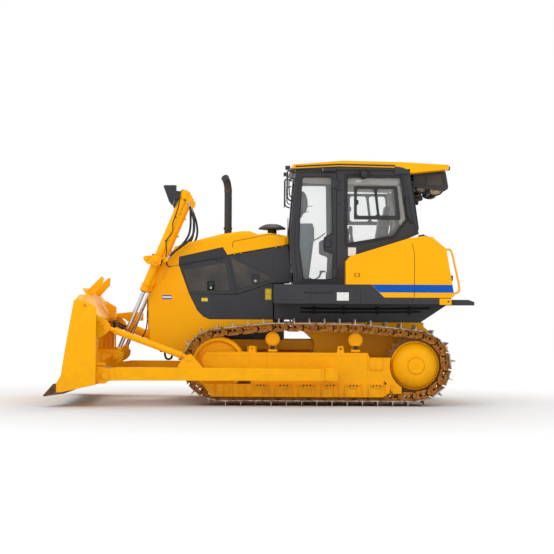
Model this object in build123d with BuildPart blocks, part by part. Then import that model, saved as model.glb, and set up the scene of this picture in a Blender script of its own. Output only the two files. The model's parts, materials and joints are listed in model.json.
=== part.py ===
from build123d import *
from math import asin, atan2, cos, degrees, hypot, pi, sin, sqrt, tan
import os

# A crawler bulldozer at full size, in millimetres. The machine faces -X, its right side
# is +Y and +Z is up. The ground is Z = 0. Side outlines are (x, z) points.

# running clearances
seat = 0.3            # between curved faces that seat on each other
door_gap = 5.0        # round a door
pin_play = 0.4        # round a moving pin

# track chain
shoe_count = 39
grouser = 62.0        # height of the bar on each shoe
grouser_base = 26.0
grouser_tip = 12.0
shoe_plate = 13.0
pin_to_shoe = 53.0    # chain pin to the seat of the shoe
pin_to_rail = 52.0    # chain pin to the rolling face of the link
shoe_width = 560.0
gauge = 1880.0
link_inner = 55.0     # half distance between the two rows of links
link_outer = 100.0

# wheels of the track
sprocket_x = 2029.0
sprocket_teeth = 25
sprocket_pin_r = 408.5
bushing_r = 33.0
tooth_height = 16.0
sprocket_width = 70.0
idler_x = -589.0
idler_pin_r = 414.7
carrier_r = 95.0
carrier_slack = 5.0   # the chain's corners cut in over a small wheel
carrier_stations = ((132.0, 880.0), (1235.0, 871.0))
roller_r = 105.0
roller_count = 6
first_roller_x = -28.0
roller_pitch = 308.4
skirt_thickness = 26.0

# track frame
frame_half = 150.0
frame_wall = 20.0
frame_top = 702.0
frame_bottom = 416.0
frame_front = -802.0
frame_rear = 1703.0
guard_thickness = 16.0
guard_top = 285.0
guard_bottom = 112.0
rib_count = 15
first_rib_x = -600.0
rib_pitch = 155.0
rib_width = 16.0
rib_depth = 12.0

# final drive
hub_r = 300.0
drive_base_r = 325.0
drive_step_r = 215.0
drive_boss_r = 113.0
drive_reach = 265.0   # from the middle of the track to the boss

# hull
hull_half = 560.0
rail_inner = 260.0
rail_outer = 420.0
rail_bottom = 725.0
rail_top = 860.0
deck_line = 1103.0    # where the yellow rear case ends below the dark deck
nose_half = 570.0
nose_wall = 25.0
sheet = 20.0
panel_inset = 2.0     # fixed side panels stand in from the nose by this much
engine_half = 300.0
engine_top = 1940.0

# cab
cab_half = 780.0
cab_wall = 45.0
cab_floor = 1621.0
cab_top = 3173.0
glass = 8.0
roof_half = 820.0
hinge_x = 991.0
hinge_offset = 16.0   # door hinge axis outside the cab wall
door_thickness = 34.0
knuckle_r = 9.0
knuckle_length = 70.0
hinge_pin_r = 5.0
door_inset = 90.0        # from the corner of an engine door to its hinge

# tail and fenders
body_half = 1050.0
locker_inner = 790.0
fender_inner = 600.0
fender_bottom = 1353.0
fender_top = 1612.0
fender_low = 1440.0
fender_sheet = 14.0
curtain = 20.0
bracket = 16.0        # plates that carry the fenders
deck_top = 1560.0     # the cab's mounts stand here
fender_front = 146.0
fender_rear = 2512.0

# blade and its linkage
blade_half = 1655.0
end_plate = 25.0
straight_half = 1000.0
arm_inner = 1325.0
arm_width = 150.0
arm_pivot = (895.0, 435.0)
pivot_pin_r = 55.0
cap_half = 80.0       # square cap that keeps the arm on its trunnion
cylinder_gap = 95.0   # from the side of the nose to the axis of a lift cylinder
barrel_r = 55.0
barrel_bore = 46.0
rod_r = 28.0
trunnion = (-1435.0, 1922.0)
trunnion_r = 32.0
trunnion_band, trunnion_band_r = 150.0, 72.0
gland, gland_r = 60.0, 63.0
end_cap = 24.0
rod_pin = (-1974.0, 633.0)
rod_length = 1600.0
barrel_up = 1020.0    # barrel end above the trunnion
barrel_down = 440.0
eye_r = 62.0
eye_width = 90.0
lug = 25.0
port_half = 42.0
hose_r = 15.0
hose_spread = 44.0    # between the middles of the two hoses of a cylinder

track_y = gauge / 2
cylinder_y = nose_half + cylinder_gap
frame_outer = track_y + frame_half
frame_inner = track_y - frame_half
arm_outer = arm_inner + arm_width
cheek_inner = cylinder_y + 94
arm_mid = arm_inner + arm_width / 2
door_axis_y = -nose_half - knuckle_r - 0.5
pin_line = grouser + shoe_plate + pin_to_shoe
rail_line = pin_line + pin_to_rail
sprocket_z = pin_line + sprocket_pin_r
idler_z = pin_line + idler_pin_r


def slab(points, y_from, y_to, mode=Mode.ADD, corner=0, shrink=0):
    # a side outline carried across the machine
    with BuildSketch(Plane.XZ.offset(-y_to)) as outline:
        with BuildLine():
            Polyline(*points, close=True)
        make_face()
        if corner:
            fillet(outline.vertices(), corner)
        if shrink:
            offset(amount=-shrink, kind=Kind.INTERSECTION, mode=Mode.REPLACE)
    extrude(outline.sketch, amount=y_to - y_from, dir=(0, -1, 0), mode=mode)


def disc(centre, radius, y_from, y_to, mode=Mode.ADD):
    # a round face (x, z) carried across the machine
    with BuildSketch(Plane.XZ.offset(-y_to)) as outline:
        with Locations(centre):
            Circle(radius)
    extrude(outline.sketch, amount=y_to - y_from, dir=(0, -1, 0), mode=mode)


def section(points, x_from, x_to, mode=Mode.ADD):
    # a (y, z) outline carried along the machine
    with BuildSketch(Plane.YZ.offset(x_from)) as outline:
        with BuildLine():
            Polyline(*points, close=True)
        make_face()
    extrude(outline.sketch, amount=x_to - x_from, dir=(1, 0, 0), mode=mode)


def block(x, y, z, mode=Mode.ADD):
    # a box from its three pairs of limits
    with Locations(((x[0] + x[1]) / 2, (y[0] + y[1]) / 2, (z[0] + z[1]) / 2)):
        Box(x[1] - x[0], y[1] - y[0], z[1] - z[0], mode=mode)


def bar(start, end, radius, mode=Mode.ADD):
    run = Vector(*end) - Vector(*start)
    with BuildSketch(Plane(origin=start, z_dir=run)) as outline:
        Circle(radius)
    extrude(outline.sketch, amount=run.length, dir=run, mode=mode)


def turned(profile, centre, y_mid):
    # a turned piece about a cross axis: profile points are (y offset, radius)
    place = Plane(origin=(centre[0], y_mid, centre[1]), x_dir=(0, 1, 0), z_dir=(1, 0, 0))
    with BuildSketch(place) as outline:
        with BuildLine():
            Polyline(*profile, close=True)
        make_face()
    axis = Axis((centre[0], y_mid, centre[1]), (0, 1, 0))
    revolve(outline.sketch, axis=axis)


def tube(points, y, radius, bore, bend):
    # a bent pipe lying in a side plane
    with BuildLine() as path:
        FilletPolyline(*[(x, y, z) for x, z in points], radius=bend)
    start = path.line @ 0
    with BuildSketch(Plane(origin=start, z_dir=path.line % 0)) as ring:
        Circle(radius)
        if bore:
            Circle(bore, mode=Mode.SUBTRACT)
    sweep(ring.sketch, path=path.line)


# The chain runs over the idler, two carrier rollers and the sprocket. Each wheel is
# (x, z, radius) of the circle that the chain pins follow.
wheels = [(idler_x, idler_z, idler_pin_r)]
for station in carrier_stations:
    wheels.append((station[0], station[1], carrier_r + pin_to_rail + carrier_slack))
wheels.append((sprocket_x, sprocket_z, sprocket_pin_r))


def along(start, end, distance):
    # a point on the line between two (x, z) points, at a distance from the first
    run = hypot(end[0] - start[0], end[1] - start[1])
    return (start[0] + (end[0] - start[0]) * distance / run,
            start[1] + (end[1] - start[1]) * distance / run)


def rail(points, y, radius):
    # a round rail with mitred corners lying in a side plane
    with BuildLine() as path:
        Polyline(*[(x, y, z) for x, z in points])
    with BuildSketch(Plane(origin=path.line @ 0, z_dir=path.line % 0)) as ring:
        Circle(radius)
    sweep(ring.sketch, path=path.line, transition=Transition.RIGHT)


def tangent_angle(first, second):
    # angle of the radius to both points where the upper common tangent touches
    run = hypot(second[0] - first[0], second[1] - first[1])
    slope = atan2(second[1] - first[1], second[0] - first[0])
    return slope + pi / 2 - asin((first[2] - second[2]) / run)


def on_wheel(wheel, angle):
    return (wheel[0] + wheel[2] * cos(angle), wheel[1] + wheel[2] * sin(angle))


upper = [tangent_angle(a, b) for a, b in zip(wheels, wheels[1:])]
with BuildLine() as chain_path:
    Line((idler_x, pin_line), (sprocket_x, pin_line))
    ThreePointArc((sprocket_x, pin_line), on_wheel(wheels[3], 0), on_wheel(wheels[3], upper[2]))
    for i in (2, 1, 0):
        Line(on_wheel(wheels[i + 1], upper[i]), on_wheel(wheels[i], upper[i]))
        if i:
            middle = (upper[i] + upper[i - 1]) / 2
            ThreePointArc(on_wheel(wheels[i], upper[i]), on_wheel(wheels[i], middle),
                          on_wheel(wheels[i], upper[i - 1]))
    ThreePointArc(on_wheel(wheels[0], upper[0]), on_wheel(wheels[0], pi), (idler_x, pin_line))
chain = Wire(chain_path.edges())
pins = [(p.X, p.Y) for p in (chain.position_at(i / shoe_count) for i in range(shoe_count))]


def chain_ring(inside, outside, y_from, y_to):
    # a band round the chain between two distances from its pins, inward ones negative
    with BuildSketch(Plane.XZ.offset(-y_to)) as band:
        for reach, mode in ((outside, Mode.ADD), (inside, Mode.SUBTRACT)):
            with BuildSketch(mode=Mode.PRIVATE) as loop:
                with BuildLine():
                    Polyline(*pins, close=True)
                make_face()
                offset(amount=reach, kind=Kind.INTERSECTION, mode=Mode.REPLACE)
            add(loop.sketch, mode=mode)
    extrude(band.sketch, amount=y_to - y_from, dir=(0, -1, 0))


def make_track(y_mid):
    half = shoe_width / 2
    chain_ring(pin_to_shoe, pin_to_shoe + shoe_plate, y_mid - half, y_mid + half)
    for side in (-1, 1):
        low, high = sorted((y_mid + side * link_inner, y_mid + side * link_outer))
        chain_ring(-pin_to_rail, pin_to_shoe, low, high)
    root = pin_to_shoe + shoe_plate / 2
    tip = pin_to_shoe + shoe_plate + grouser
    bar_outline = [(-grouser_base / 2, -root), (grouser_base / 2, -root),
                   (grouser_tip / 2, -tip), (-grouser_tip / 2, -tip)]
    with BuildSketch(Plane.XZ.offset(-y_mid - half)) as bars:
        for (x, z), (x2, z2) in zip(pins, pins[1:] + pins[:1]):
            turn = degrees(atan2(z2 - z, x2 - x))
            with Locations(Location(((x + x2) / 2, (z + z2) / 2, 0), (0, 0, turn))):
                Polygon(*bar_outline, align=None)
    extrude(bars.sketch, amount=shoe_width, dir=(0, -1, 0))


with BuildPart() as track_right:
    make_track(track_y)

with BuildPart() as track_left:
    mirror(track_right.part, about=Plane.XZ)

# drive sprocket: teeth reach between the two rows of links
with BuildPart() as sprockets:
    with BuildSketch(Plane.XZ.offset(-track_y - sprocket_width / 2)) as rim:
        with Locations((sprocket_x, sprocket_z)):
            Circle(sprocket_pin_r + tooth_height)
            Circle(hub_r + seat, mode=Mode.SUBTRACT)
            with PolarLocations(sprocket_pin_r, sprocket_teeth):
                Circle(bushing_r + seat, mode=Mode.SUBTRACT)
                with Locations((bushing_r, 0)):
                    Rectangle(2 * bushing_r, 1.5 * bushing_r, mode=Mode.SUBTRACT)
    extrude(rim.sketch, amount=sprocket_width, dir=(0, -1, 0))
    mirror(about=Plane.XZ)

# final drive: housing on the hull, turning case outside the sprocket
drive_flange = sprocket_width / 2
with BuildPart() as final_drives:
    turned([(hull_half - track_y, 0), (hull_half - track_y, 285), (-frame_half, 265), (-60, 265),
            (-60, hub_r), (drive_flange, hub_r), (drive_flange, drive_base_r),
            (drive_flange + 28, drive_base_r), (drive_flange + 70, drive_base_r - 28),
            (drive_reach - 70, drive_step_r), (drive_reach - 28, drive_step_r - 22),
            (drive_reach - 28, drive_boss_r), (drive_reach, drive_boss_r - 12), (drive_reach, 0)],
           (sprocket_x, sprocket_z), track_y)
    mirror(about=Plane.XZ)

# front idler with its centre flange between the links
idler_tread = sqrt(idler_pin_r ** 2 - (chain.length / shoe_count / 2) ** 2) - pin_to_rail - 2
with BuildPart() as idlers:
    half_profile = [(link_inner - 5, idler_tread + 16), (link_inner - 5, idler_tread),
                    (link_outer + 2, idler_tread), (link_outer + 2, idler_tread - 34),
                    (40, idler_tread - 60), (40, 130), (frame_half - frame_wall - seat, 96),
                    (frame_half - frame_wall - seat, 0)]
    turned(half_profile + [(-y, r) for y, r in reversed(half_profile)],
           (idler_x, idler_z), track_y)
    mirror(about=Plane.XZ)

# bottom rollers: two treads with outer flanges on a fixed shaft
roller_z = rail_line + seat + roller_r
roller_stations = [first_roller_x + i * roller_pitch for i in range(roller_count)]
roller_end = frame_half - skirt_thickness - seat
with BuildPart() as track_rollers:
    half_profile = [(link_outer + 1, roller_r), (link_outer + 4, roller_r + 18),
                    (roller_end, roller_r + 10), (roller_end, 0)]
    for x in roller_stations:
        turned(half_profile + [(-y, r) for y, r in reversed(half_profile)],
               (x, roller_z), track_y)
    mirror(about=Plane.XZ)

# carrier rollers on brackets of the track frame
with BuildPart() as carrier_rollers:
    for station in carrier_stations:
        turned([(-frame_half + 40 + seat, 0), (-frame_half + 40 + seat, 46), (-link_outer - 1, 46),
                (-link_outer - 1, carrier_r), (link_outer + 1, carrier_r), (link_outer + 6, 62),
                (link_outer + 18, 58), (link_outer + 18, 0)], station, track_y)
    mirror(about=Plane.XZ)

# track frame: box beam, fork round the idler, roller skirts and carrier brackets
frame_outline = [(frame_front, 560), (frame_front + 40, 470), (idler_x - 60, frame_bottom),
                 (frame_rear + 60, frame_bottom), (frame_rear + 60, 640), (1420, 640),
                 (1395, frame_top), (frame_front + 60, frame_top), (frame_front, 640)]
with BuildPart() as track_frames:
    slab(frame_outline, frame_inner, frame_outer)
    pocket_rear = idler_x + idler_tread + 60
    block((frame_front - 10, pocket_rear), (frame_inner + frame_wall, frame_outer - frame_wall),
          (frame_bottom - 10, frame_top + 10), Mode.SUBTRACT)
    # side skirts that hold the roller shafts
    for side in (-1, 1):
        low, high = sorted((track_y + side * (frame_half - skirt_thickness),
                            track_y + side * frame_half))
        skirt_front, skirt_rear = roller_stations[0] - 130, roller_stations[-1] + 70
        slab([(skirt_front, frame_bottom), (skirt_front, roller_z - 60), (skirt_rear, roller_z - 60),
              (skirt_rear + 60, frame_bottom)], low, high)
    for x, z in carrier_stations:
        block((x - 45, x + 45), (frame_inner, frame_inner + 40), (frame_top, z + 60))
    for x in (-139, 1034):
        slab([(x - 50, frame_top), (x - 34, 790), (x + 34, 790), (x + 50, frame_top)],
             frame_outer - 30, frame_outer)
        disc((x, 755), 17, frame_outer - 31, frame_outer + 1, Mode.SUBTRACT)
    # rear end: plate swept round the final drive, slot for the sprocket
    slab([(1560, frame_bottom), (1650, 290), (1735, 160), (1848, 160), (1848, 300),
          (1760, frame_bottom)], frame_outer - 24, frame_outer)
    disc((sprocket_x, sprocket_z), drive_base_r + 14, frame_inner - 1, frame_outer + 1,
         Mode.SUBTRACT)
    block((sprocket_x - sprocket_pin_r - 50, sprocket_x),
          (track_y - sprocket_width / 2 - 12, track_y + sprocket_width / 2 + 12),
          (frame_bottom - 5, frame_top + 5), Mode.SUBTRACT)
    disc(arm_pivot, 86, frame_outer, arm_inner - 6)
    disc(arm_pivot, pivot_pin_r, arm_inner - 6, arm_outer + 2)
    block((arm_pivot[0] - cap_half, arm_pivot[0] + cap_half), (arm_outer + 2, arm_outer + 26),
          (arm_pivot[1] - cap_half, arm_pivot[1] + cap_half))
    mirror(about=Plane.XZ)

# guards outside and inside the bottom rollers
with BuildPart() as roller_guards:
    guard_outline = [(frame_front, guard_top), (frame_front + 130, guard_bottom),
                     (1590, guard_bottom), (1690, 175), (1690, guard_top)]
    for low in (frame_outer, frame_inner - guard_thickness):
        slab(guard_outline, low, low + guard_thickness)
    guard_face = frame_outer + guard_thickness
    for x in [first_rib_x + i * rib_pitch for i in range(rib_count)]:
        block((x - rib_width / 2, x + rib_width / 2), (guard_face, guard_face + rib_depth),
              (guard_bottom + 8, guard_top - 8))
    mirror(about=Plane.XZ)

# equalizer bar resting on both track frames
with BuildPart() as equalizer_bar:
    half = [(0, 575), (520, 575), (frame_inner - 30, frame_top), (frame_inner + 90, frame_top),
            (frame_inner + 90, 780), (frame_inner - 50, 780), (500, 718), (0, 718)]
    section(half + [(-y, z) for y, z in reversed(half[1:-1])], -205, -75)

# hull: engine rails, rear case, cab deck and the sloping tail box
bar_front = -215
pivot_shaft, pivot_shaft_r = (1380, 540), 70
with BuildPart() as main_frame:
    slab([(-1120, rail_top), (-1120, 790), (-1060, rail_bottom), (930, rail_bottom),
          (930, rail_top)], rail_inner, rail_outer)
    slab([(-1060, rail_bottom), (-1000, 640), (-600, 600), (bar_front - 40, 600),
          (bar_front - 40, rail_bottom)], rail_inner, rail_outer)
    mirror(about=Plane.XZ)
    block((-1120, -1060), (-nose_half + nose_wall, nose_half - nose_wall), (790, rail_top))
    block((bar_front + 10, bar_front + 140), (-rail_inner - 20, rail_inner + 20), (718, 734))
    disc(pivot_shaft, pivot_shaft_r, -frame_inner, frame_inner)
    slab([(700, 400), (2240, 400), (2420, 560), (2420, 800), (2300, 960), (2191, 1049),
          (2191, deck_line), (430, deck_line), (700, rail_top)], -hull_half, hull_half)
    section([(-hull_half - 1, 390), (-hull_half + 90, 390), (-hull_half - 1, 520)],
            690, 2430, Mode.SUBTRACT)
    section([(hull_half + 1, 390), (hull_half - 90, 390), (hull_half + 1, 520)],
            690, 2430, Mode.SUBTRACT)

# rear drawbar: a jaw with an upright pin hole
jaw_hole = 26.0
with BuildPart() as drawbar:
    block((2420, 2500), (-170, 170), (580, 790))
    with BuildSketch(Plane.XY.offset(600)) as jaw:
        with BuildLine():
            Polyline((2500, -75), (2590, -60), (2590, 60), (2500, 75), close=True)
        make_face()
        fillet(jaw.vertices().group_by(Axis.X)[-1], 40)
    extrude(amount=45)
    extrude(jaw.sketch.moved(Location((0, 0, 125))), amount=45)
    with Locations((2545, 0, 700)):
        Cylinder(jaw_hole, 400, mode=Mode.SUBTRACT)

# nose casting: guard round the radiator with the strip that runs back below the side panels
nose_outline = [(-1550, 1415), (-1530, 790), (-1150, 614), (-987, 587), (-860, 700), (-700, 1000),
                (140, 1000), (140, 1135), (-723, 1135), (-800, 1170), (-880, 1249), (-995, 1475),
                (-1139, 1868), (-1294, 1868)]
grille_low, grille_high, grille_half = 850.0, 1400.0, 430.0
with BuildPart() as radiator_guard:
    slab(nose_outline, -nose_half, nose_half)
    slab([(-1518, 1410), (-1500, 812), (-1145, 642), (-990, 615), (400, 615), (400, 1868),
          (-1270, 1868)], -nose_half + nose_wall, nose_half - nose_wall, Mode.SUBTRACT)
    block((-1700, -1400), (-grille_half, grille_half), (grille_low, grille_high), Mode.SUBTRACT)
    for side in (-1, 1):
        low, high = sorted((side * (nose_half - nose_wall), side * nose_half))
        slab([(-1445, 1590), (-1290, 1700), (-1300, 1866), (-1330, 1985), (-1435, 2000),
              (-1575, 1985), (-1600, 1930), (-1512, 1870)], low, high)
        disc(trunnion, trunnion_r + pin_play, low - 1, high + 1, Mode.SUBTRACT)
        low, high = sorted((side * cheek_inner, side * (cheek_inner + nose_wall)))
        slab([(-1575, 1985), (-1600, 1930), (-1560, 1880), (-1440, 1850), (-1370, 1885),
              (-1370, 1960), (-1430, 1995)], low, high)
        disc(trunnion, trunnion_r + pin_play, low - 1, high + 1, Mode.SUBTRACT)
        low, high = sorted((side * (nose_half - nose_wall), side * (cheek_inner + nose_wall)))
        disc((-1576, 1954), 24, low, high)

# grille: frame with upright bars, a little behind the front of the nose
bar_count, bar_pitch, bar_width = 15, 61.0, 16.0
grille_depth = 26.0
with BuildPart() as radiator_grille:
    with BuildSketch(Plane.YZ.offset(-1480)):
        with Locations((0, (grille_low + grille_high) / 2)):
            Rectangle(2 * (nose_half - nose_wall - seat), grille_high - grille_low + 70)
            with GridLocations(bar_pitch, 1, bar_count - 1, 1):
                Rectangle(bar_pitch - bar_width, grille_high - grille_low, mode=Mode.SUBTRACT)
    extrude(amount=grille_depth)

# side doors of the engine bay
panel_out = nose_half - panel_inset
front_hinge = [(-1136, 1865), (-473, 1983)]
rear_hinge = [(-465, 2006), (338, 2146)]
corner_relief = 12.0      # the front door's top corner swings down beside the nose
front_door = [along(*front_hinge, corner_relief), front_hinge[1], (-379, 1476), (-995, 1475)]
rear_door = rear_hinge + [(401, 1639), (136, 1632), (-350, 1476)]


def knuckle(line, distance, length, radius, y, mode=Mode.ADD):
    # a piece of hinge barrel along the sloping top edge of a side door
    (x1, z1), (x2, z2) = along(*line, distance), along(*line, distance + length)
    bar((x1, y, z1), (x2, y, z2), radius, mode)


def side_door(outline, line):
    # an engine door on the left side, hung from its top edge
    slab(outline, -panel_out, -panel_out + sheet, shrink=door_gap / 2)
    length = hypot(line[1][0] - line[0][0], line[1][1] - line[0][1])
    for distance in (door_inset, length - door_inset - knuckle_length):
        knuckle(line, distance, knuckle_length, knuckle_r, door_axis_y)
        (x1, z1), (x2, z2) = along(*line, distance), along(*line, distance + knuckle_length)
        slab([(x1, z1), (x2, z2), (x2 + 6, z2 - 29), (x1 + 6, z1 - 29)], door_axis_y,
             -panel_out + 1)
        knuckle(line, distance - 1, knuckle_length + 2, hinge_pin_r + pin_play, door_axis_y,
                Mode.SUBTRACT)


def side_door_pins(line, wall):
    # the fixed pins of those hinges and the ears that hold them
    length = hypot(line[1][0] - line[0][0], line[1][1] - line[0][1])
    for distance in (door_inset, length - door_inset - knuckle_length):
        knuckle(line, distance - 14, knuckle_length + 28, hinge_pin_r, -door_axis_y)
        for end in (distance - 14, distance + knuckle_length + 4):
            knuckle(line, end, 10, knuckle_r, -door_axis_y)
            (x1, z1), (x2, z2) = along(*line, end), along(*line, end + 10)
            slab([(x1, z1), (x2, z2), (x2 - 5, z2 + 26), (x1 - 5, z1 + 26)], wall,
                 -door_axis_y)


# hood: sheet roof over the engine, with its chamfered shoulders
hood_side = [(-1294, 1868), (-1295, 1918), (-1202, 2117), (-1076, 2164), (-555, 2297),
             (-287, 2337), (-177, 2337), (-65, 2294), (91, 2314), (240, 2290), (344, 2274),
             (345, 2156), (-462, 2011), (-485, 2011), (-544, 2113), (-1131, 1980), (-1139, 1868)]
stack_x, stack_r, stack_wall = -484.0, 52.0, 4.0
cleaner_x, cleaner_r, cleaner_neck = 132.0, 189.0, 62.0
hood_sheet = 12.0
shoulder = 46.0          # bevel along the top edges


def hood_form(outline, half):
    # a side outline across the hood, its upper edges bevelled
    with BuildPart(mode=Mode.PRIVATE) as form:
        slab(outline, -half, half)
        upper = [edge for edge in form.edges() if edge.center().Z > 2140 and edge.length > 60
                 and abs(abs(edge.center().Y) - half) < 1]
        chamfer(upper, shoulder)
    return form.part


hood_inner = [(-1400, 1800)] + [(x + (15 if x < -1290 else 0), z - hood_sheet)
                                for x, z in hood_side[1:12]] + [(346, 1800)]
with BuildPart() as hood:
    add(hood_form(hood_side, nose_half))
    add(hood_form(hood_inner, nose_half - hood_sheet), mode=Mode.SUBTRACT)
    for x, r in ((stack_x, stack_r + 0.5), (cleaner_x, cleaner_neck + 0.5)):
        with Locations((x, 0, 2300)):
            Cylinder(r, 300, mode=Mode.SUBTRACT)
    side_door_pins(rear_hinge, nose_half)
    mirror(about=Plane.XZ)

# fixed dark panels: strip over the front door and the lower panel
with BuildPart() as engine_panels:
    slab([(-1139, 1868), (-1131, 1980), (-544, 2113), (-485, 2011), (-470, 1989)],
         panel_out - sheet, panel_out)
    slab([(-995, 1475), (-880, 1249), (-800, 1170), (-723, 1135), (140, 1135), (136, 1627),
          (-352, 1471)], panel_out - sheet, panel_out)
    side_door_pins(front_hinge, panel_out)
    mirror(about=Plane.XZ)


with BuildPart() as engine_door_front_left:
    side_door(front_door, front_hinge)
with BuildPart() as engine_door_rear_left:
    side_door(rear_door, rear_hinge)
with BuildPart() as engine_door_front_right:
    mirror(engine_door_front_left.part, about=Plane.XZ)
with BuildPart() as engine_door_rear_right:
    mirror(engine_door_rear_left.part, about=Plane.XZ)

# engine: one block on the rails
with BuildPart() as engine:
    slab([(-960, rail_top), (300, rail_top), (300, 1700), (220, engine_top), (-840, engine_top),
          (-960, 1800)], -engine_half, engine_half)
    block((-700, 200), (-rail_inner + 2, rail_inner - 2), (735, rail_top))

# exhaust stack with its bent tip
with BuildPart() as exhaust_stack:
    tube([(stack_x, engine_top), (stack_x, 2930), (stack_x - 40, 3135)], 0, stack_r,
         stack_r - stack_wall, 180)

# air precleaner: mushroom cap on its neck
with BuildPart() as air_precleaner:
    with BuildSketch(Plane.XZ):
        with BuildLine():
            Polyline((cleaner_x, 2458), (cleaner_x, 2260), (cleaner_x + cleaner_neck, 2260),
                     (cleaner_x + cleaner_neck, 2372), (cleaner_x + cleaner_r, 2384),
                     (cleaner_x + cleaner_r, 2402), (cleaner_x + 110, 2446), (cleaner_x + 20, 2458),
                     close=True)
        make_face()
    revolve(axis=Axis((cleaner_x, 0, 0), (0, 0, 1)))

# cab shell: pillars, walls and floor with the door and window openings
cab_side = [(418, cab_floor), (359, 2150), (383, 2511), (437, cab_top), (1966, cab_top),
            (2100, 2300), (1935, 2245), (1935, cab_floor)]
cab_inside = [(466, cab_floor + cab_wall), (407, 2150), (431, 2508), (482, cab_top - cab_wall),
              (1926, cab_top - cab_wall), (2050, 2326), (1890, 2274), (1890, cab_floor + cab_wall)]
door_edge = hinge_x - 6
hinge_y = cab_half + hinge_offset
hinge_heights = (1760, 2960)
hinge_length = 100.0
hinge_post_r = 8.0
hinge_barrel_r = 13.0
door_opening = [(474, 1650), (452, 1800), (418, 2150), (442, 2508), (486, 3125), (door_edge, 3125),
                (door_edge, 1650)]
side_window = [(1132, 3056), (1846, 3056), (1873, 2881), (1926, 2504), (1751, 2275), (1132, 2167)]
with BuildPart() as cab_frame:
    slab(cab_side, -cab_half, cab_half)
    slab(cab_inside, -cab_half + cab_wall, cab_half - cab_wall, Mode.SUBTRACT)
    slab(door_opening, -cab_half - 1, -cab_half + cab_wall + 1, Mode.SUBTRACT)
    slab(door_opening, cab_half - cab_wall - 1, cab_half + 1, Mode.SUBTRACT)
    slab(side_window, -cab_half - 1, cab_half + 1, Mode.SUBTRACT)
    block((300, 640), (-690, 690), (1780, 3080), Mode.SUBTRACT)
    block((1800, 2200), (-620, 620), (2380, 3060), Mode.SUBTRACT)
    with BuildSketch(Plane.XY.offset(deck_top)):
        with Locations((1160, 0)):
            with GridLocations(1200, 960, 2, 2):
                Circle(60)
    extrude(amount=cab_floor - deck_top)
    for z in hinge_heights:
        with Locations((hinge_x, -hinge_y, z)):
            Cylinder(hinge_post_r, hinge_length + 30)
        for low, high in ((-hinge_length / 2 - 15, -hinge_length / 2 - 1),
                          (hinge_length / 2 + 1, hinge_length / 2 + 15)):
            block((hinge_x - 9, hinge_x + 60), (-hinge_y - 12, -cab_half + 1), (z + low, z + high))
    mirror(about=Plane.XZ)

# glass fixed in the cab
with BuildPart() as cab_glass:
    slab(side_window, cab_half - 20 - glass, cab_half - 20, shrink=seat)
    mirror(about=Plane.XZ)
    front_glass = [(400, 1780.3), (359 + 20, 2150), (383 + 20, 2511), (446, 3079.7)]
    slab(front_glass + [(x + glass, z) for x, z in reversed(front_glass)], -689.7, 689.7)
    slab([(2060, 2380.3), (1962, 3059.7), (1954, 3059.7), (2052, 2380.3)], -619.7, 619.7)

# cab roof with the overhang over the condenser
roof_lip = (2500, 3180)
roof_droop = (2040, 3126)
with BuildPart() as cab_roof:
    slab([(364, cab_top), (405, 3227), (1063, 3281), (1855, 3267), (2500, 3234), roof_lip,
          roof_droop, (1975, roof_droop[1]), (1975, cab_top)], -roof_half, roof_half)
    for x, z in ((700, 3272), (1430, 3294)):
        with BuildSketch(Plane.XZ) as ring:
            with Locations((x, z)):
                Circle(32)
                Circle(19, mode=Mode.SUBTRACT)
        extrude(amount=6, both=True)

# condenser box hung under the overhang
with BuildPart() as condenser:
    slab([roof_droop, roof_lip, (2539, 2941), (2348, 2819), (2049, 2955)], -500, 500)

# tail: side lockers, and the fuel tank across the back
tail_seam = 1950.0
locker_side = [(1103, fender_top), (1103, 1918), (1156, 1984), (tail_seam - 5, 2232),
               (tail_seam - 5, fender_low), (1615, fender_low), (1443, fender_top)]
tank_side = [(tail_seam, fender_low), (tail_seam, 2234), (2007, 2243), (2140, 2263),
             (2260, 2250), (2432, 2104), (2446, 2064), (2552, 1466), (2525, fender_low)]
with BuildPart() as side_lockers:
    slab(locker_side, locker_inner, body_half)
    chamfer(side_lockers.faces().sort_by(Axis.Y)[-1].edges().filter_by(GeomType.LINE)
            .sort_by(Axis.Z)[-2:], 24)
    mirror(about=Plane.XZ)
with BuildPart() as fuel_tank:
    slab(tank_side, -body_half, body_half)
    for end in (0, -1):
        top = fuel_tank.faces().sort_by(Axis.Y)[end].edges().sort_by(Axis.Z)[-4:]
        chamfer(top, 24)

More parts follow.
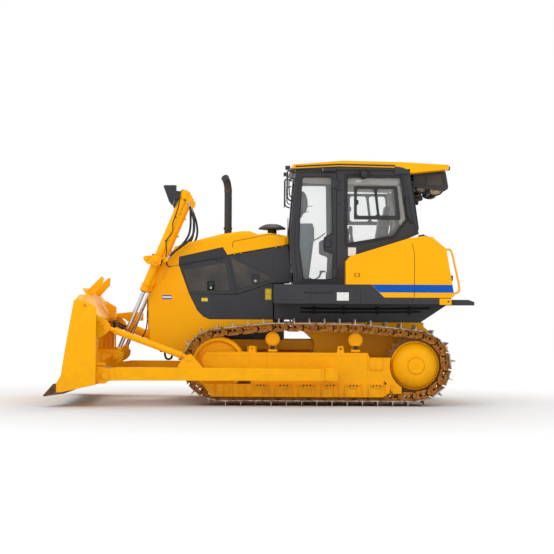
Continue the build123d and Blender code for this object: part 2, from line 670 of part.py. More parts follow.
# fenders: decks with an outer skirt, open below
fender_side = [(fender_front, fender_bottom), (fender_front, fender_top), (1443, fender_top),
               (1615, fender_low), (fender_rear, fender_low), (fender_rear, fender_bottom)]
with BuildPart() as fenders:
    slab(fender_side, fender_inner, body_half)
    slab([(fender_front + fender_sheet, fender_bottom - 1),
          (fender_front + fender_sheet, fender_top - fender_sheet), (1435, fender_top - fender_sheet),
          (1608, fender_low - fender_sheet), (fender_rear - fender_sheet, fender_low - fender_sheet),
          (fender_rear - fender_sheet, fender_bottom - 1)],
         fender_inner - 1, body_half - fender_sheet, Mode.SUBTRACT)
    for x in (500, 1200, 1800):
        block((x - bracket / 2, x + bracket / 2), (hull_half, body_half - fender_sheet),
              (fender_bottom, fender_low - 20))
    block((430, 1300), (hull_half - 1, fender_inner + 1), (fender_bottom, fender_bottom + bracket))
    # curtain plate between the engine panels and the deck box, with its curved lower corner
    slab([(160, fender_bottom + 40), (160, deck_line + 30), (431, deck_line + 30),
          (431, fender_bottom + 40)], hull_half - curtain, hull_half)
    slab([(160, fender_bottom + 1), (431, fender_bottom + 1), (431, fender_bottom + 39),
          (160, fender_bottom + 39)], hull_half - curtain, fender_inner + 1)
    mirror(about=Plane.XZ)
    # deck box under the cab, its tail sloping up to the bumper plate
    slab([(430, deck_line), (2191, deck_line), (2153, deck_line + 4), (2512, 1346),
          (2512, fender_low), (1930, fender_low), (1930, deck_top), (430, deck_top)],
         -hull_half, hull_half)
    slab([(fender_rear, 1415), (2758, 1415), (2838, 1387), (2838, 1340), (fender_rear, 1340)],
         -body_half + 150, body_half - 150)

# grab bars on the tank
with BuildPart() as handrails:
    rail_y = 900
    rail([(2443.5, 2089), (2517, 2082), (2638, 1534), (2552, 1493)], rail_y, 14)
    mirror(about=Plane.XZ)

# seat, console and levers
with BuildPart() as operator_seat:
    block((1240, 1620), (-190, 190), (cab_floor + cab_wall, 1900))
    with BuildSketch(Plane.XZ.offset(-250)) as cushion:
        with BuildLine():
            Polyline((1180, 1900), (1180, 2010), (1600, 1990), (1690, 2620), (1790, 2620),
                     (1740, 1900), close=True)
        make_face()
        fillet(cushion.vertices(), 30)
    extrude(amount=500)
with BuildPart() as controls:
    slab([(520, cab_floor + cab_wall), (470, 2120), (560, 2240), (700, 2200), (640, 1720),
          (760, cab_floor + cab_wall)], -260, 260)
    for side in (-1, 1):
        low, high = sorted((side * 290, side * 430))
        slab([(1250, cab_floor + cab_wall), (1180, 2100), (1200, 2180), (1640, 2180),
              (1640, cab_floor + cab_wall)], low, high)
        bar((1240, side * 360, 2178), (1210, side * 360, 2330), 16)
        bar((1210, side * 360, 2330), (1202, side * 360, 2385), 26)

# cab doors: framed glass hung at the rear edge
door_glass_outline = [(526, 3055), (917, 3055), (930, 2301), (822, 2248), (822, 2073), (943, 2026),
                      (930, 1683), (545, 1683), (486, 2140), (500, 2584)]
door_out = cab_half + 2
with BuildPart() as cab_door_left:
    slab(door_opening, -door_out, -door_out + door_thickness, shrink=door_gap)
    slab(door_glass_outline, -door_out - 1, -door_out + door_thickness + 1, Mode.SUBTRACT)
    block((840, 900), (-door_out - 26, -door_out), (2120, 2200))
    for z in hinge_heights:
        block((hinge_x - 70, hinge_x), (-hinge_y - 4, -door_out + 1), (z - 50, z + 50))
        with Locations((hinge_x, -hinge_y, z)):
            Cylinder(hinge_barrel_r, hinge_length)
            Cylinder(hinge_post_r + pin_play, hinge_length + 40, mode=Mode.SUBTRACT)
with BuildPart() as cab_door_right:
    mirror(cab_door_left.part, about=Plane.XZ)
with BuildPart() as door_glass_left:
    slab(door_glass_outline, -door_out + 12, -door_out + 12 + glass, shrink=seat)
with BuildPart() as door_glass_right:
    mirror(door_glass_left.part, about=Plane.XZ)

# tall mirrors on arms at the front corners of the cab
mirror_y = cab_half - 24
mirror_size = (190.0, 400.0)
arm_r = 11.0


def cab_face(z):
    # front face of the cab's pillar above the sill, a hair in front of it
    (x_low, z_low), (x_high, z_high) = cab_side[2:4]
    return (x_low + (x_high - x_low) * (z - z_low) / (z_high - z_low) - seat, z)


with BuildPart() as mirrors:
    rail([cab_face(3140), (352, 3147), (352, 2726), cab_face(2721)], mirror_y, arm_r)
    for z in (2830, 3040):
        block((322, 352), (mirror_y - arm_r, mirror_y + arm_r), (z - 14, z + 14))
    with BuildSketch(Plane.YZ.offset(308)):
        with Locations((mirror_y, 2930)):
            RectangleRounded(*mirror_size, 40)
    extrude(amount=18)
    mirror(about=Plane.XZ)

# work lamps at the roof's corners
with BuildPart() as work_lamps:
    for x, depth, height in ((300, 65.2, 3200), (2500, 39, 3206)):
        with BuildSketch(Plane.YZ.offset(x)):
            with Locations((560, height)):
                RectangleRounded(150, 50, 12)
        extrude(amount=depth)
    mirror(about=Plane.XZ)

# blade: curved front between end plates, wings set forward, box back
centre_face = ((-2345, 1461), (-2310, 880), (-2500, 310))
wing_shift_top, wing_shift_low = -116.0, -174.0   # at the end plates
edge_side = [(-2500, 190), (-2500, 306), (-2530, 302), (-2664, 145), (-2640, 138)]
blade_back = [(-2500, 190), (-2165, 190), (-2165, 560), (-2285, 600), (-2275, 860), (-2290, 1060),
              (-2120, 1110), (-2116, 1163), (-2322, 1461)]


def blade_section(y, sweep):
    # sweep runs from 0 in the straight middle to 1 at the end of the wing
    shift_top, shift_low = wing_shift_top * sweep, wing_shift_low * sweep
    with BuildSketch(Plane.XZ.offset(-y)) as profile:
        with BuildLine():
            top = (centre_face[0][0] + shift_top, centre_face[0][1])
            middle = (centre_face[1][0] + (shift_top + shift_low) / 2, centre_face[1][1])
            low = (centre_face[2][0] + shift_low, centre_face[2][1])
            ThreePointArc(top, middle, low)
            back = [(blade_back[0][0] + shift_low, blade_back[0][1])] + blade_back[1:-1]
            back.append((blade_back[-1][0] + shift_top, blade_back[-1][1]))
            Polyline(low, *back, top)
        make_face()
    return profile.sketch


def edge_section(y, sweep):
    shift = wing_shift_low * sweep
    with BuildSketch(Plane.XZ.offset(-y)) as profile:
        with BuildLine():
            Polyline(*[(x + shift, z) for x, z in edge_side], close=True)
        make_face()
    return profile.sketch


wing_y = blade_half - end_plate
end_sweep = (wing_y - straight_half) / (blade_half - straight_half)
end_front = edge_side[0][0] + wing_shift_low * end_sweep
end_plate_side = [(-2444, 1375), (-2306, 1375), (-2156, 1294), (-2161, 290), (-2600, 190),
                  (end_front, 190), (end_front, 306), (-2618, 353), (-2554, 757), (-2456, 1323)]
lift_lug = [(-2290, 729), (-1921, 714), (-1874, 680), (-1883, 604), (-1931, 548), (-2045, 496),
            (-2120, 500), (-2290, 500)]
brace_top = (-2050, 1030)
clevis_half = 32.0    # half the gap between a pair of clevis plates
brace_pin_r = 30.0
brace_eye_r = 52.0
brace_rod_r = 30.0
brace_bar_r = 43.0
tilt_barrel_r = 64.0
with BuildPart() as blade:
    extrude(blade_section(straight_half, 0), amount=2 * straight_half)
    for side in (-1, 1):
        loft([blade_section(side * straight_half, 0), blade_section(side * wing_y, end_sweep)],
             ruled=True)
        low, high = sorted((side * wing_y, side * blade_half))
        slab(end_plate_side, low, high)
        disc((-2294, 1316), 24, low - 1, high + 1, Mode.SUBTRACT)
        # posts behind the curve, where the arms and braces pull
        low, high = sorted((side * (arm_mid - 62), side * (arm_mid + 62)))
        slab([(-2290, 560), (-2165, 560), (-2165, 1148), (-2290, 1060)], low, high)
        # clevis plates of the brace or tilt cylinder, and the arm's pad
        for offset_y in (-clevis_half - lug, clevis_half):
            base = side * arm_mid + offset_y
            slab([(-2170, 1148), (-2084, 1149), (-2000, 1070), (-2000, 990), (-2071, 930),
                  (-2170, 874)], base, base + lug)
        disc(brace_top, brace_pin_r, side * arm_mid - clevis_half - 1, side * arm_mid + clevis_half + 1)
        slab([(-2170, 290), (-2050, 300), (-2050, 500), (-2170, 528)], low, high)
        # lift lugs
        for offset_y in (-eye_width / 2 - 0.6 - lug, eye_width / 2 + 0.6):
            base = side * cylinder_y + offset_y
            slab(lift_lug, base, base + lug)
            disc(rod_pin, 46, base - 8 if offset_y < 0 else base, base + lug + (8 if offset_y > 0 else 0))
        # fins on the top edge
        base = side * 560
        slab([(-2372, 1440), (-2372, 1523), (-2183, 1712), (-2156, 1688), (-2165, 1597),
              (-2318, 1432)], base - 12, base + 12)

# cutting edge and end bits
with BuildPart() as cutting_edge:
    extrude(edge_section(straight_half, 0), amount=2 * straight_half)
    for side in (-1, 1):
        loft([edge_section(side * straight_half, 0), edge_section(side * blade_half, 1)],
             ruled=True)

# push arms with the clevis of the brace
brace_foot = (-956.0, 628.0)
with BuildPart() as push_arm_left:
    slab([(-2049.7, 330), (-2049.7, 490), (-1900, 510), (820, 505), (arm_pivot[0], arm_pivot[1] + 90),
          (arm_pivot[0], arm_pivot[1] - 90), (820, 348), (-1900, 338)], -arm_outer, -arm_inner)
    disc(arm_pivot, 90, -arm_outer, -arm_inner)
    disc(arm_pivot, pivot_pin_r + pin_play, -arm_outer - 1, -arm_inner + 1, Mode.SUBTRACT)
    for offset_y in (-clevis_half - lug, clevis_half):
        base = -arm_mid + offset_y
        slab([(-1110, 500), (-1110, 530), (-1054, 612), (-975, 680), (-930, 680), (-789, 519),
              (-789, 500)], base, base + lug)
    disc(brace_foot, brace_pin_r, -arm_mid - clevis_half - 1, -arm_mid + clevis_half + 1)
with BuildPart() as push_arm_right:
    mirror(push_arm_left.part, about=Plane.XZ)

# brace on the left, tilt cylinder on the right
def brace_eye(centre, y):
    disc(centre, brace_eye_r, y - clevis_half + seat, y + clevis_half - seat)


def strut(start, end, y, radius, from_start, from_end):
    # a round bar on the line between two pins, set in from each of them
    first, last = along(start, end, from_start), along(end, start, from_end)
    bar((first[0], y, first[1]), (last[0], y, last[1]), radius)


with BuildPart() as brace_left:
    brace_eye(brace_top, -arm_mid)
    brace_eye(brace_foot, -arm_mid)
    strut(brace_top, brace_foot, -arm_mid, brace_rod_r, 40, 40)
    strut(brace_top, brace_foot, -arm_mid, brace_bar_r, 125, 125)
    for centre in (brace_top, brace_foot):
        disc(centre, brace_pin_r + seat, -arm_mid - 40, -arm_mid + 40, Mode.SUBTRACT)
with BuildPart() as tilt_cylinder:
    brace_eye(brace_top, arm_mid)
    brace_eye(brace_foot, arm_mid)
    strut(brace_top, brace_foot, arm_mid, brace_rod_r, 40, 40)
    strut(brace_top, brace_foot, arm_mid, tilt_barrel_r, 130, 420)
    for centre in (brace_top, brace_foot):
        disc(centre, brace_pin_r + seat, arm_mid - 40, arm_mid + 40, Mode.SUBTRACT)

# lift cylinders: hollow barrel on its trunnion, rod with its eye
lean = atan2(trunnion[0] - rod_pin[0], trunnion[1] - rod_pin[1])


def on_cylinder(distance, y=-cylinder_y):
    # a point on the cylinder's axis, measured up from the trunnion
    return (trunnion[0] + distance * sin(lean), y, trunnion[1] + distance * cos(lean))


with BuildPart() as lift_barrel_left:
    bar(on_cylinder(-barrel_down), on_cylinder(barrel_up), barrel_r)
    bar(on_cylinder(-trunnion_band / 2), on_cylinder(trunnion_band / 2), trunnion_band_r)
    bar(on_cylinder(-barrel_down - 2), on_cylinder(-barrel_down + gland), gland_r)
    bar(on_cylinder(-barrel_down + gland), on_cylinder(barrel_up - end_cap), barrel_bore,
        Mode.SUBTRACT)
    bar(on_cylinder(-barrel_down - 5), on_cylinder(-barrel_down + gland + 5), rod_r + pin_play,
        Mode.SUBTRACT)
    disc(trunnion, trunnion_r, -cylinder_y + 66, -nose_half + nose_wall)
    disc(trunnion, trunnion_r, -cheek_inner - nose_wall, -cylinder_y - 66)
    # port blocks at the head and by the trunnion, each with a face square to its hoses
    slab([(-1006, 2821), (-957, 2806), (-966, 2735), (-982, 2716.4), (-1038, 2695.6), (-1054, 2708)],
         -cylinder_y - port_half, -cylinder_y + port_half)
    slab([(-1372, 1917), (-1326, 1898), (-1265.4, 1929.5), (-1314.6, 1970.5), (-1335, 2005)],
         -cylinder_y - port_half, -cylinder_y + port_half)
with BuildPart() as lift_barrel_right:
    mirror(lift_barrel_left.part, about=Plane.XZ)
with BuildPart() as lift_rod_left:
    reach = hypot(trunnion[0] - rod_pin[0], trunnion[1] - rod_pin[1])
    bar(on_cylinder(-reach + 40), on_cylinder(-reach + rod_length), rod_r)
    disc(rod_pin, eye_r, -cylinder_y - eye_width / 2, -cylinder_y + eye_width / 2)
with BuildPart() as lift_rod_right:
    mirror(lift_rod_left.part, about=Plane.XZ)

# pressure hoses of the lift cylinders, (x, z) from the head's port block to the lower one
hose_top, hose_top_way = (-1010, 2706), (0.347, -0.938)
hose_foot, hose_foot_way = (-1290, 1950), (0.64, 0.768)
hose_routes = ([(-981, 2530), (-980, 2390), (-1003, 2262), (-1098, 2130)],
               [(-945, 2520), (-925, 2385), (-945, 2262), (-1035, 2160)])
hose_leads = ((70, 90), (86, 117))    # straight leads square to the two faces


def bends(points):
    # arc radii at the inner points of a route, as large as its runs leave room for
    radii = []
    for before, here, after in zip(points, points[1:], points[2:]):
        first, second = Vector(*here) - Vector(*before), Vector(*after) - Vector(*here)
        turn = first.get_angle(second) / 180 * pi
        radii.append(0.45 * min(first.length, second.length) / tan(turn / 2))
    return radii


def make_hose(route, leads, y):
    ends = []
    for (x, z), (way_x, way_z), lead in zip((hose_top, hose_foot), (hose_top_way, hose_foot_way),
                                            leads):
        ends.append([(x + way_x * reach, z + way_z * reach) for reach in (seat, lead)])
    points = [(x, y, z) for x, z in ends[0] + route + ends[1][::-1]]
    radii = bends(points)
    print("hose radii", [round(radius) for radius in radii])
    with BuildLine() as line:
        FilletPolyline(*points, radius=radii)
    with BuildSketch(Plane(origin=line.line @ 0, z_dir=line.line % 0)) as ring:
        Circle(hose_r)
    sweep(ring.sketch, path=line.line)


with BuildPart() as lift_hoses_left:
    for route, leads, shift in zip(hose_routes, hose_leads, (0.5, -0.5)):
        make_hose(route, leads, -cylinder_y + shift * hose_spread)
with BuildPart() as lift_hoses_right:
    mirror(lift_hoses_left.part, about=Plane.XZ)

# lamps on the heads of the lift cylinders
with BuildPart() as headlamp_left:
    slab([(-1343, 2939), (-1174, 2942), (-1174, 2808), (-1226, 2673), (-1250, 2690)],
         -cylinder_y - 75, -cylinder_y + 75)
    slab([(-1200, 2870), (-1190, 2800), (-1090, 2770), (-1060, 2860)], -cylinder_y - 30,
         -cylinder_y + 30)
    bar(on_cylinder(0), on_cylinder(barrel_up + 40), barrel_r + seat, Mode.SUBTRACT)
with BuildPart() as headlamp_right:
    mirror(headlamp_left.part, about=Plane.XZ)

os.makedirs("parts", exist_ok=True)
track_right.part.label = "track_right"
export_step(track_right.part, "parts/track_right.step")
track_left.part.label = "track_left"
export_step(track_left.part, "parts/track_left.step")
sprockets.part.label = "sprockets"
export_step(sprockets.part, "parts/sprockets.step")
final_drives.part.label = "final_drives"
export_step(final_drives.part, "parts/final_drives.step")
idlers.part.label = "idlers"
export_step(idlers.part, "parts/idlers.step")
track_rollers.part.label = "track_rollers"
export_step(track_rollers.part, "parts/track_rollers.step")
carrier_rollers.part.label = "carrier_rollers"
export_step(carrier_rollers.part, "parts/carrier_rollers.step")
track_frames.part.label = "track_frames"
export_step(track_frames.part, "parts/track_frames.step")
roller_guards.part.label = "roller_guards"
export_step(roller_guards.part, "parts/roller_guards.step")
equalizer_bar.part.label = "equalizer_bar"
export_step(equalizer_bar.part, "parts/equalizer_bar.step")
main_frame.part.label = "main_frame"
export_step(main_frame.part, "parts/main_frame.step")
drawbar.part.label = "drawbar"
export_step(drawbar.part, "parts/drawbar.step")
radiator_guard.part.label = "radiator_guard"
export_step(radiator_guard.part, "parts/radiator_guard.step")
radiator_grille.part.label = "radiator_grille"
export_step(radiator_grille.part, "parts/radiator_grille.step")
hood.part.label = "hood"
export_step(hood.part, "parts/hood.step")
engine_panels.part.label = "engine_panels"
export_step(engine_panels.part, "parts/engine_panels.step")
engine_door_front_left.part.label = "engine_door_front_left"
export_step(engine_door_front_left.part, "parts/engine_door_front_left.step")
engine_door_rear_left.part.label = "engine_door_rear_left"
export_step(engine_door_rear_left.part, "parts/engine_door_rear_left.step")
engine_door_front_right.part.label = "engine_door_front_right"
export_step(engine_door_front_right.part, "parts/engine_door_front_right.step")
engine_door_rear_right.part.label = "engine_door_rear_right"
export_step(engine_door_rear_right.part, "parts/engine_door_rear_right.step")
engine.part.label = "engine"
export_step(engine.part, "parts/engine.step")
exhaust_stack.part.label = "exhaust_stack"
export_step(exhaust_stack.part, "parts/exhaust_stack.step")
air_precleaner.part.label = "air_precleaner"
export_step(air_precleaner.part, "parts/air_precleaner.step")
cab_frame.part.label = "cab_frame"
export_step(cab_frame.part, "parts/cab_frame.step")
cab_glass.part.label = "cab_glass"
export_step(cab_glass.part, "parts/cab_glass.step")
cab_roof.part.label = "cab_roof"
export_step(cab_roof.part, "parts/cab_roof.step")
condenser.part.label = "condenser"
export_step(condenser.part, "parts/condenser.step")
side_lockers.part.label = "side_lockers"
export_step(side_lockers.part, "parts/side_lockers.step")
fuel_tank.part.label = "fuel_tank"
export_step(fuel_tank.part, "parts/fuel_tank.step")
fenders.part.label = "fenders"
export_step(fenders.part, "parts/fenders.step")
handrails.part.label = "handrails"
export_step(handrails.part, "parts/handrails.step")
operator_seat.part.label = "operator_seat"
export_step(operator_seat.part, "parts/operator_seat.step")
controls.part.label = "controls"
export_step(controls.part, "parts/controls.step")
cab_door_left.part.label = "cab_door_left"
export_step(cab_door_left.part, "parts/cab_door_left.step")
cab_door_right.part.label = "cab_door_right"
export_step(cab_door_right.part, "parts/cab_door_right.step")
door_glass_left.part.label = "door_glass_left"
export_step(door_glass_left.part, "parts/door_glass_left.step")
door_glass_right.part.label = "door_glass_right"
export_step(door_glass_right.part, "parts/door_glass_right.step")
mirrors.part.label = "mirrors"
export_step(mirrors.part, "parts/mirrors.step")
work_lamps.part.label = "work_lamps"
export_step(work_lamps.part, "parts/work_lamps.step")
blade.part.label = "blade"
export_step(blade.part, "parts/blade.step")
cutting_edge.part.label = "cutting_edge"
export_step(cutting_edge.part, "parts/cutting_edge.step")
push_arm_left.part.label = "push_arm_left"
export_step(push_arm_left.part, "parts/push_arm_left.step")
push_arm_right.part.label = "push_arm_right"
export_step(push_arm_right.part, "parts/push_arm_right.step")
brace_left.part.label = "brace_left"
export_step(brace_left.part, "parts/brace_left.step")
tilt_cylinder.part.label = "tilt_cylinder"
export_step(tilt_cylinder.part, "parts/tilt_cylinder.step")
lift_barrel_left.part.label = "lift_barrel_left"
export_step(lift_barrel_left.part, "parts/lift_barrel_left.step")
lift_barrel_right.part.label = "lift_barrel_right"
export_step(lift_barrel_right.part, "parts/lift_barrel_right.step")
lift_rod_left.part.label = "lift_rod_left"
export_step(lift_rod_left.part, "parts/lift_rod_left.step")
lift_rod_right.part.label = "lift_rod_right"
export_step(lift_rod_right.part, "parts/lift_rod_right.step")
lift_hoses_left.part.label = "lift_hoses_left"
export_step(lift_hoses_left.part, "parts/lift_hoses_left.step")
lift_hoses_right.part.label = "lift_hoses_right"
export_step(lift_hoses_right.part, "parts/lift_hoses_right.step")
headlamp_left.part.label = "headlamp_left"
export_step(headlamp_left.part, "parts/headlamp_left.step")
headlamp_right.part.label = "headlamp_right"
export_step(headlamp_right.part, "parts/headlamp_right.step")
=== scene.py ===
import bpy, bmesh, json, math
from mathutils import Matrix, Vector


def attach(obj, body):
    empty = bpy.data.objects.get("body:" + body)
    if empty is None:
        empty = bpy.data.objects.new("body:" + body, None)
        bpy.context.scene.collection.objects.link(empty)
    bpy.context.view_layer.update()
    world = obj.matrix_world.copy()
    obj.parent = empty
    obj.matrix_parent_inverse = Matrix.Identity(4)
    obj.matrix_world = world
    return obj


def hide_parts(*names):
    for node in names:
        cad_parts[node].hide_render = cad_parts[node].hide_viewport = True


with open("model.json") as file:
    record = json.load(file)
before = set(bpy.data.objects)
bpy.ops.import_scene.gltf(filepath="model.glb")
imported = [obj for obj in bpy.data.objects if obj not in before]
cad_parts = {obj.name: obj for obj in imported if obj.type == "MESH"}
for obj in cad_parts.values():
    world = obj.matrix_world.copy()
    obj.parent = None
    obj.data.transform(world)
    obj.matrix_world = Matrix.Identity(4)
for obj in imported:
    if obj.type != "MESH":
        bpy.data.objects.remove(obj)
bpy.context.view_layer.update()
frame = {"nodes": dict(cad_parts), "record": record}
nodes = frame["nodes"]
mm = 0.001
sides = ((-1, "left"), (1, "right"))
print("frame loaded,", len(nodes), "nodes")


def linked(name, data):
    # a new object at the origin
    item = bpy.data.objects.new(name, data)
    bpy.context.scene.collection.objects.link(item)
    return item


# camera: a long lens nearly square to the left side
cameraSpec = {"place": (-0.2, -23.0, 1.306), "focal": 1651.0, "image": 554, "vanish": (248.0, 307.0), "roll": 0.3}


def makeCamera(spec):
    half = spec["image"] / 2
    lean = Vector(((half - spec["vanish"][0]) / spec["focal"], 1, (spec["vanish"][1] - half) / spec["focal"]))
    data = bpy.data.cameras.new("sideCamera")
    data.sensor_width = 36
    data.lens = 36 * spec["focal"] / spec["image"]
    data.clip_end = 200
    camera = linked("sideCamera", data)
    turn = lean.to_track_quat("-Z", "Y").to_matrix() @ Matrix.Rotation(math.radians(spec["roll"]), 3, "Z")
    camera.matrix_world = Matrix.Translation(spec["place"]) @ turn.to_4x4()
    bpy.context.scene.camera = camera


makeCamera(cameraSpec)


# one helper for every node, in shader trees and geometry trees alike
def addNode(tree, kind, settings=None, values=None, wires=None):
    node = tree.nodes.new(kind)
    for name, value in (settings or {}).items():
        setattr(node, name, value)
    for name, value in (values or {}).items():
        node.inputs[name].default_value = value
    for name, (source, socket) in (wires or {}).items():
        tree.links.new(source.outputs[socket], node.inputs[name])
    return node


# finishes
def linear(hexColour):
    parts = [int(hexColour[i:i + 2], 16) / 255 for i in (1, 3, 5)]
    return tuple(p / 12.92 if p <= 0.04045 else ((p + 0.055) / 1.055) ** 2.4 for p in parts) + (1,)


def newMaterial(name, colour, roughness, metallic=0.0, extra=None):
    material = bpy.data.materials.new(name)
    material.use_nodes = True
    tree = material.node_tree
    shader = tree.nodes["Principled BSDF"]
    shader.inputs["Base Color"].default_value = linear(colour)
    shader.inputs["Roughness"].default_value = roughness
    shader.inputs["Metallic"].default_value = metallic
    for key, value in (extra or {}).items():
        shader.inputs[key].default_value = value
    material.diffuse_color = linear(colour)
    return material, tree, shader


def mask(tree, source, socket, low, high, top=1.0):
    # 0 to 1 between two levels of a value
    return addNode(tree, "ShaderNodeMapRange", values={"From Min": low, "From Max": high, "To Max": top},
                   wires={"Value": (source, socket)})


def mixed(tree, amount, first, second):
    # colours as hex, or as (node, socket); amount is (node, socket)
    mix = addNode(tree, "ShaderNodeMix", {"data_type": "RGBA"}, wires={"Factor": amount})
    for name, side in (("A_Color", first), ("B_Color", second)):
        socket = next(s for s in mix.inputs if s.identifier == name)
        if isinstance(side, str):
            socket.default_value = linear(side)
        else:
            tree.links.new(side[0].outputs[side[1]], socket)
    return mix, next(i for i, s in enumerate(mix.outputs) if s.identifier == "Result_Color")


def coat(tree, shader, colour):
    tree.links.new(colour[0].outputs[colour[1]], shader.inputs["Base Color"])


def noise(tree, coords, size, detail=4.0, rough=0.55, stretch=(1, 1, 1)):
    # features about so many millimetres wide
    vector = addNode(tree, "ShaderNodeMapping", values={"Scale": stretch}, wires={"Vector": (coords, "Object")})
    return addNode(tree, "ShaderNodeTexNoise", values={"Scale": 1000.0 / size, "Detail": detail, "Roughness": rough},
                   wires={"Vector": (vector, "Vector")})


def times(tree, first, second):
    return addNode(tree, "ShaderNodeMath", {"operation": "MULTIPLY"}, wires={0: first, 1: second})


def relief(tree, shader, source, socket, depth, strength=0.5, edge=2.0):
    # grain on top of slightly rounded edges, both sizes in mm
    rounded = addNode(tree, "ShaderNodeBevel", {"samples": 4}, {"Radius": edge * mm})
    node = addNode(tree, "ShaderNodeBump", values={"Strength": strength, "Distance": depth * mm},
                   wires={"Height": (source, socket), "Normal": (rounded, "Normal")})
    tree.links.new(node.outputs["Normal"], shader.inputs["Normal"])


def sprayedEnamel(name, colour, shade, dust, roughness, dustTop=1.0, dustMost=0.3, gloss=0.25):
    # sprayed two-pack enamel: orange peel, a slow drift in tone, dry dust thickening near the ground
    material, tree, shader = newMaterial(name, colour, roughness, extra={"Specular IOR Level": gloss,
                                                                         "Coat Weight": 0.04, "Coat Roughness": 0.1})
    coords = addNode(tree, "ShaderNodeTexCoord")
    drift = mask(tree, noise(tree, coords, 700, 3), "Fac", 0.35, 0.7)
    base = mixed(tree, (drift, "Result"), colour, shade)
    height = addNode(tree, "ShaderNodeSeparateXYZ", wires={"Vector": (coords, "Object")})
    low = mask(tree, height, "Z", dustTop, 0.1)
    patches = mask(tree, noise(tree, coords, 120, 6, 0.65), "Fac", 0.42, 0.75, dustMost)
    amount = times(tree, (low, "Result"), (patches, "Result"))
    dusted = mixed(tree, (amount, 0), base, dust)
    coat(tree, shader, dusted)
    rough = addNode(tree, "ShaderNodeMapRange", values={"To Min": roughness, "To Max": roughness + 0.35},
                    wires={"Value": (amount, 0)})
    tree.links.new(rough.outputs["Result"], shader.inputs["Roughness"])
    relief(tree, shader, noise(tree, coords, 3, 2), "Fac", 0.5, 0.06, 4.0)
    return material


def grained(name, colour, shade, roughness, metallic, grain, depth, extra=None, edge=2.0, spread=14,
            stretch=(1, 1, 1)):
    # two close tones in slow patches, and a fine grain
    material, tree, shader = newMaterial(name, colour, roughness, metallic, extra)
    coords = addNode(tree, "ShaderNodeTexCoord")
    tone = mask(tree, noise(tree, coords, grain * spread, 4), "Fac", 0.35, 0.68)
    base = mixed(tree, (tone, "Result"), colour, shade)
    coat(tree, shader, base)
    relief(tree, shader, noise(tree, coords, grain, 5, 0.6, stretch), "Fac", depth, 0.4, edge)
    return material


def rustedPaint(name, paint, rust, dark, roughness):
    # forged links: thin paint, orange rust film and packed earth in the corners
    material, tree, shader = newMaterial(name, rust, roughness, 0.0)
    coords = addNode(tree, "ShaderNodeTexCoord")
    film = mask(tree, noise(tree, coords, 55, 6, 0.7), "Fac", 0.44, 0.6)
    first = mixed(tree, (film, "Result"), paint, rust)
    earth = mask(tree, noise(tree, coords, 24, 6, 0.7), "Fac", 0.56, 0.7)
    second = mixed(tree, (earth, "Result"), first, dark)
    coat(tree, shader, second)
    relief(tree, shader, noise(tree, coords, 7, 6, 0.7), "Fac", 1.2, 0.5, 3.0)
    return material


def polishedShoe(name, bright, film, roughness):
    # rolled shoe plate rubbed bright on its ground side, with brown film left in patches
    material, tree, shader = newMaterial(name, bright, roughness, 0.6)
    coords = addNode(tree, "ShaderNodeTexCoord")
    patch = mask(tree, noise(tree, coords, 60, 6, 0.65), "Fac", 0.46, 0.62)
    base = mixed(tree, (patch, "Result"), bright, film)
    coat(tree, shader, base)
    relief(tree, shader, noise(tree, coords, 5, 6, 0.7, (1, 4, 1)), "Fac", 0.8, 0.5, 1.5)
    return material


def perforated(name, colour, dust, roughness, pitch):
    # punched sheet painted over, with brown dust caught round the holes; the holes are drawn coarse enough to show
    material, tree, shader = newMaterial(name, colour, roughness)
    coords = addNode(tree, "ShaderNodeTexCoord")
    turned = addNode(tree, "ShaderNodeMapping", values={"Rotation": (math.pi / 2, 0, 0)},
                     wires={"Vector": (coords, "Object")})
    holes = addNode(tree, "ShaderNodeTexVoronoi", {"voronoi_dimensions": "2D"},
                    {"Scale": 1000.0 / pitch, "Randomness": 0.0},
                    wires={"Vector": (turned, "Vector")})
    round_ = mask(tree, holes, "Distance", 0.24, 0.34)
    patch = mask(tree, noise(tree, coords, 260, 4), "Fac", 0.36, 0.66)
    tone = mixed(tree, (patch, "Result"), colour, dust)
    # the holes are painted near-black: painted shade of the engine bay behind the sheet
    base = mixed(tree, (round_, "Result"), "#0E0D0D", tone)
    coat(tree, shader, base)
    relief(tree, shader, round_, "Result", 2.0, 0.6, 2.0)
    return material


def clearGlass(name, tint, film):
    # toughened sheet: almost clear, a faint grey film in slow patches
    material, tree, shader = newMaterial(name, tint, 0.03, extra={"IOR": 1.52, "Alpha": 0.1})
    coords = addNode(tree, "ShaderNodeTexCoord")
    patch = mask(tree, noise(tree, coords, 350, 3), "Fac", 0.4, 0.75)
    base = mixed(tree, (patch, "Result"), tint, film)
    coat(tree, shader, base)
    return material


yellow = sprayedEnamel("yellowEnamel", "#FFB500", "#FDAC00", "#9A7234", 0.34, gloss=0.1)
charcoal = sprayedEnamel("charcoalEnamel", "#303036", "#2A2A2F", "#5E5449", 0.4, 1.6, 0.22, 0.4)
# near-black enamel: dark underbody paint deepened into painted shade under the fenders
underbodyShade = sprayedEnamel("blackUnderbodyShade", "#141416", "#1B1A1A", "#3A342C", 0.6, 1.6, 0.4)
blue = grained("blueVinylStripe", "#0058B8", "#0052AE", 0.45, 0.0, 3.0, 0.03, extra={"Specular IOR Level": 0.15},
               edge=0.3)
bareStrip = grained("bareNameStrip", "#1B1C22", "#202127", 0.32, 0.0, 3.0, 0.03, edge=0.5)
white = grained("whiteVinylPlate", "#EDEDE8", "#E2E2DC", 0.4, 0.0, 3.0, 0.03, edge=0.3)
paleYellow = grained("yellowVinylPlate", "#F2CC10", "#E8C008", 0.4, 0.0, 3.0, 0.03, edge=0.3)
screenMesh = perforated("punchedDoorScreen", "#3A3735", "#574E46", 0.5, 14)
heatBrown = grained("heatStainedSteel", "#6A4526", "#4A3220", 0.5, 0.4, 6.0, 0.3)
mattBlack = grained("heatproofBlack", "#2B2B2E", "#333335", 0.6, 0.0, 2.5, 0.25)
blackPlastic = grained("mouldedBlackPlastic", "#1B1B1D", "#222224", 0.5, 0.0, 1.6, 0.2)
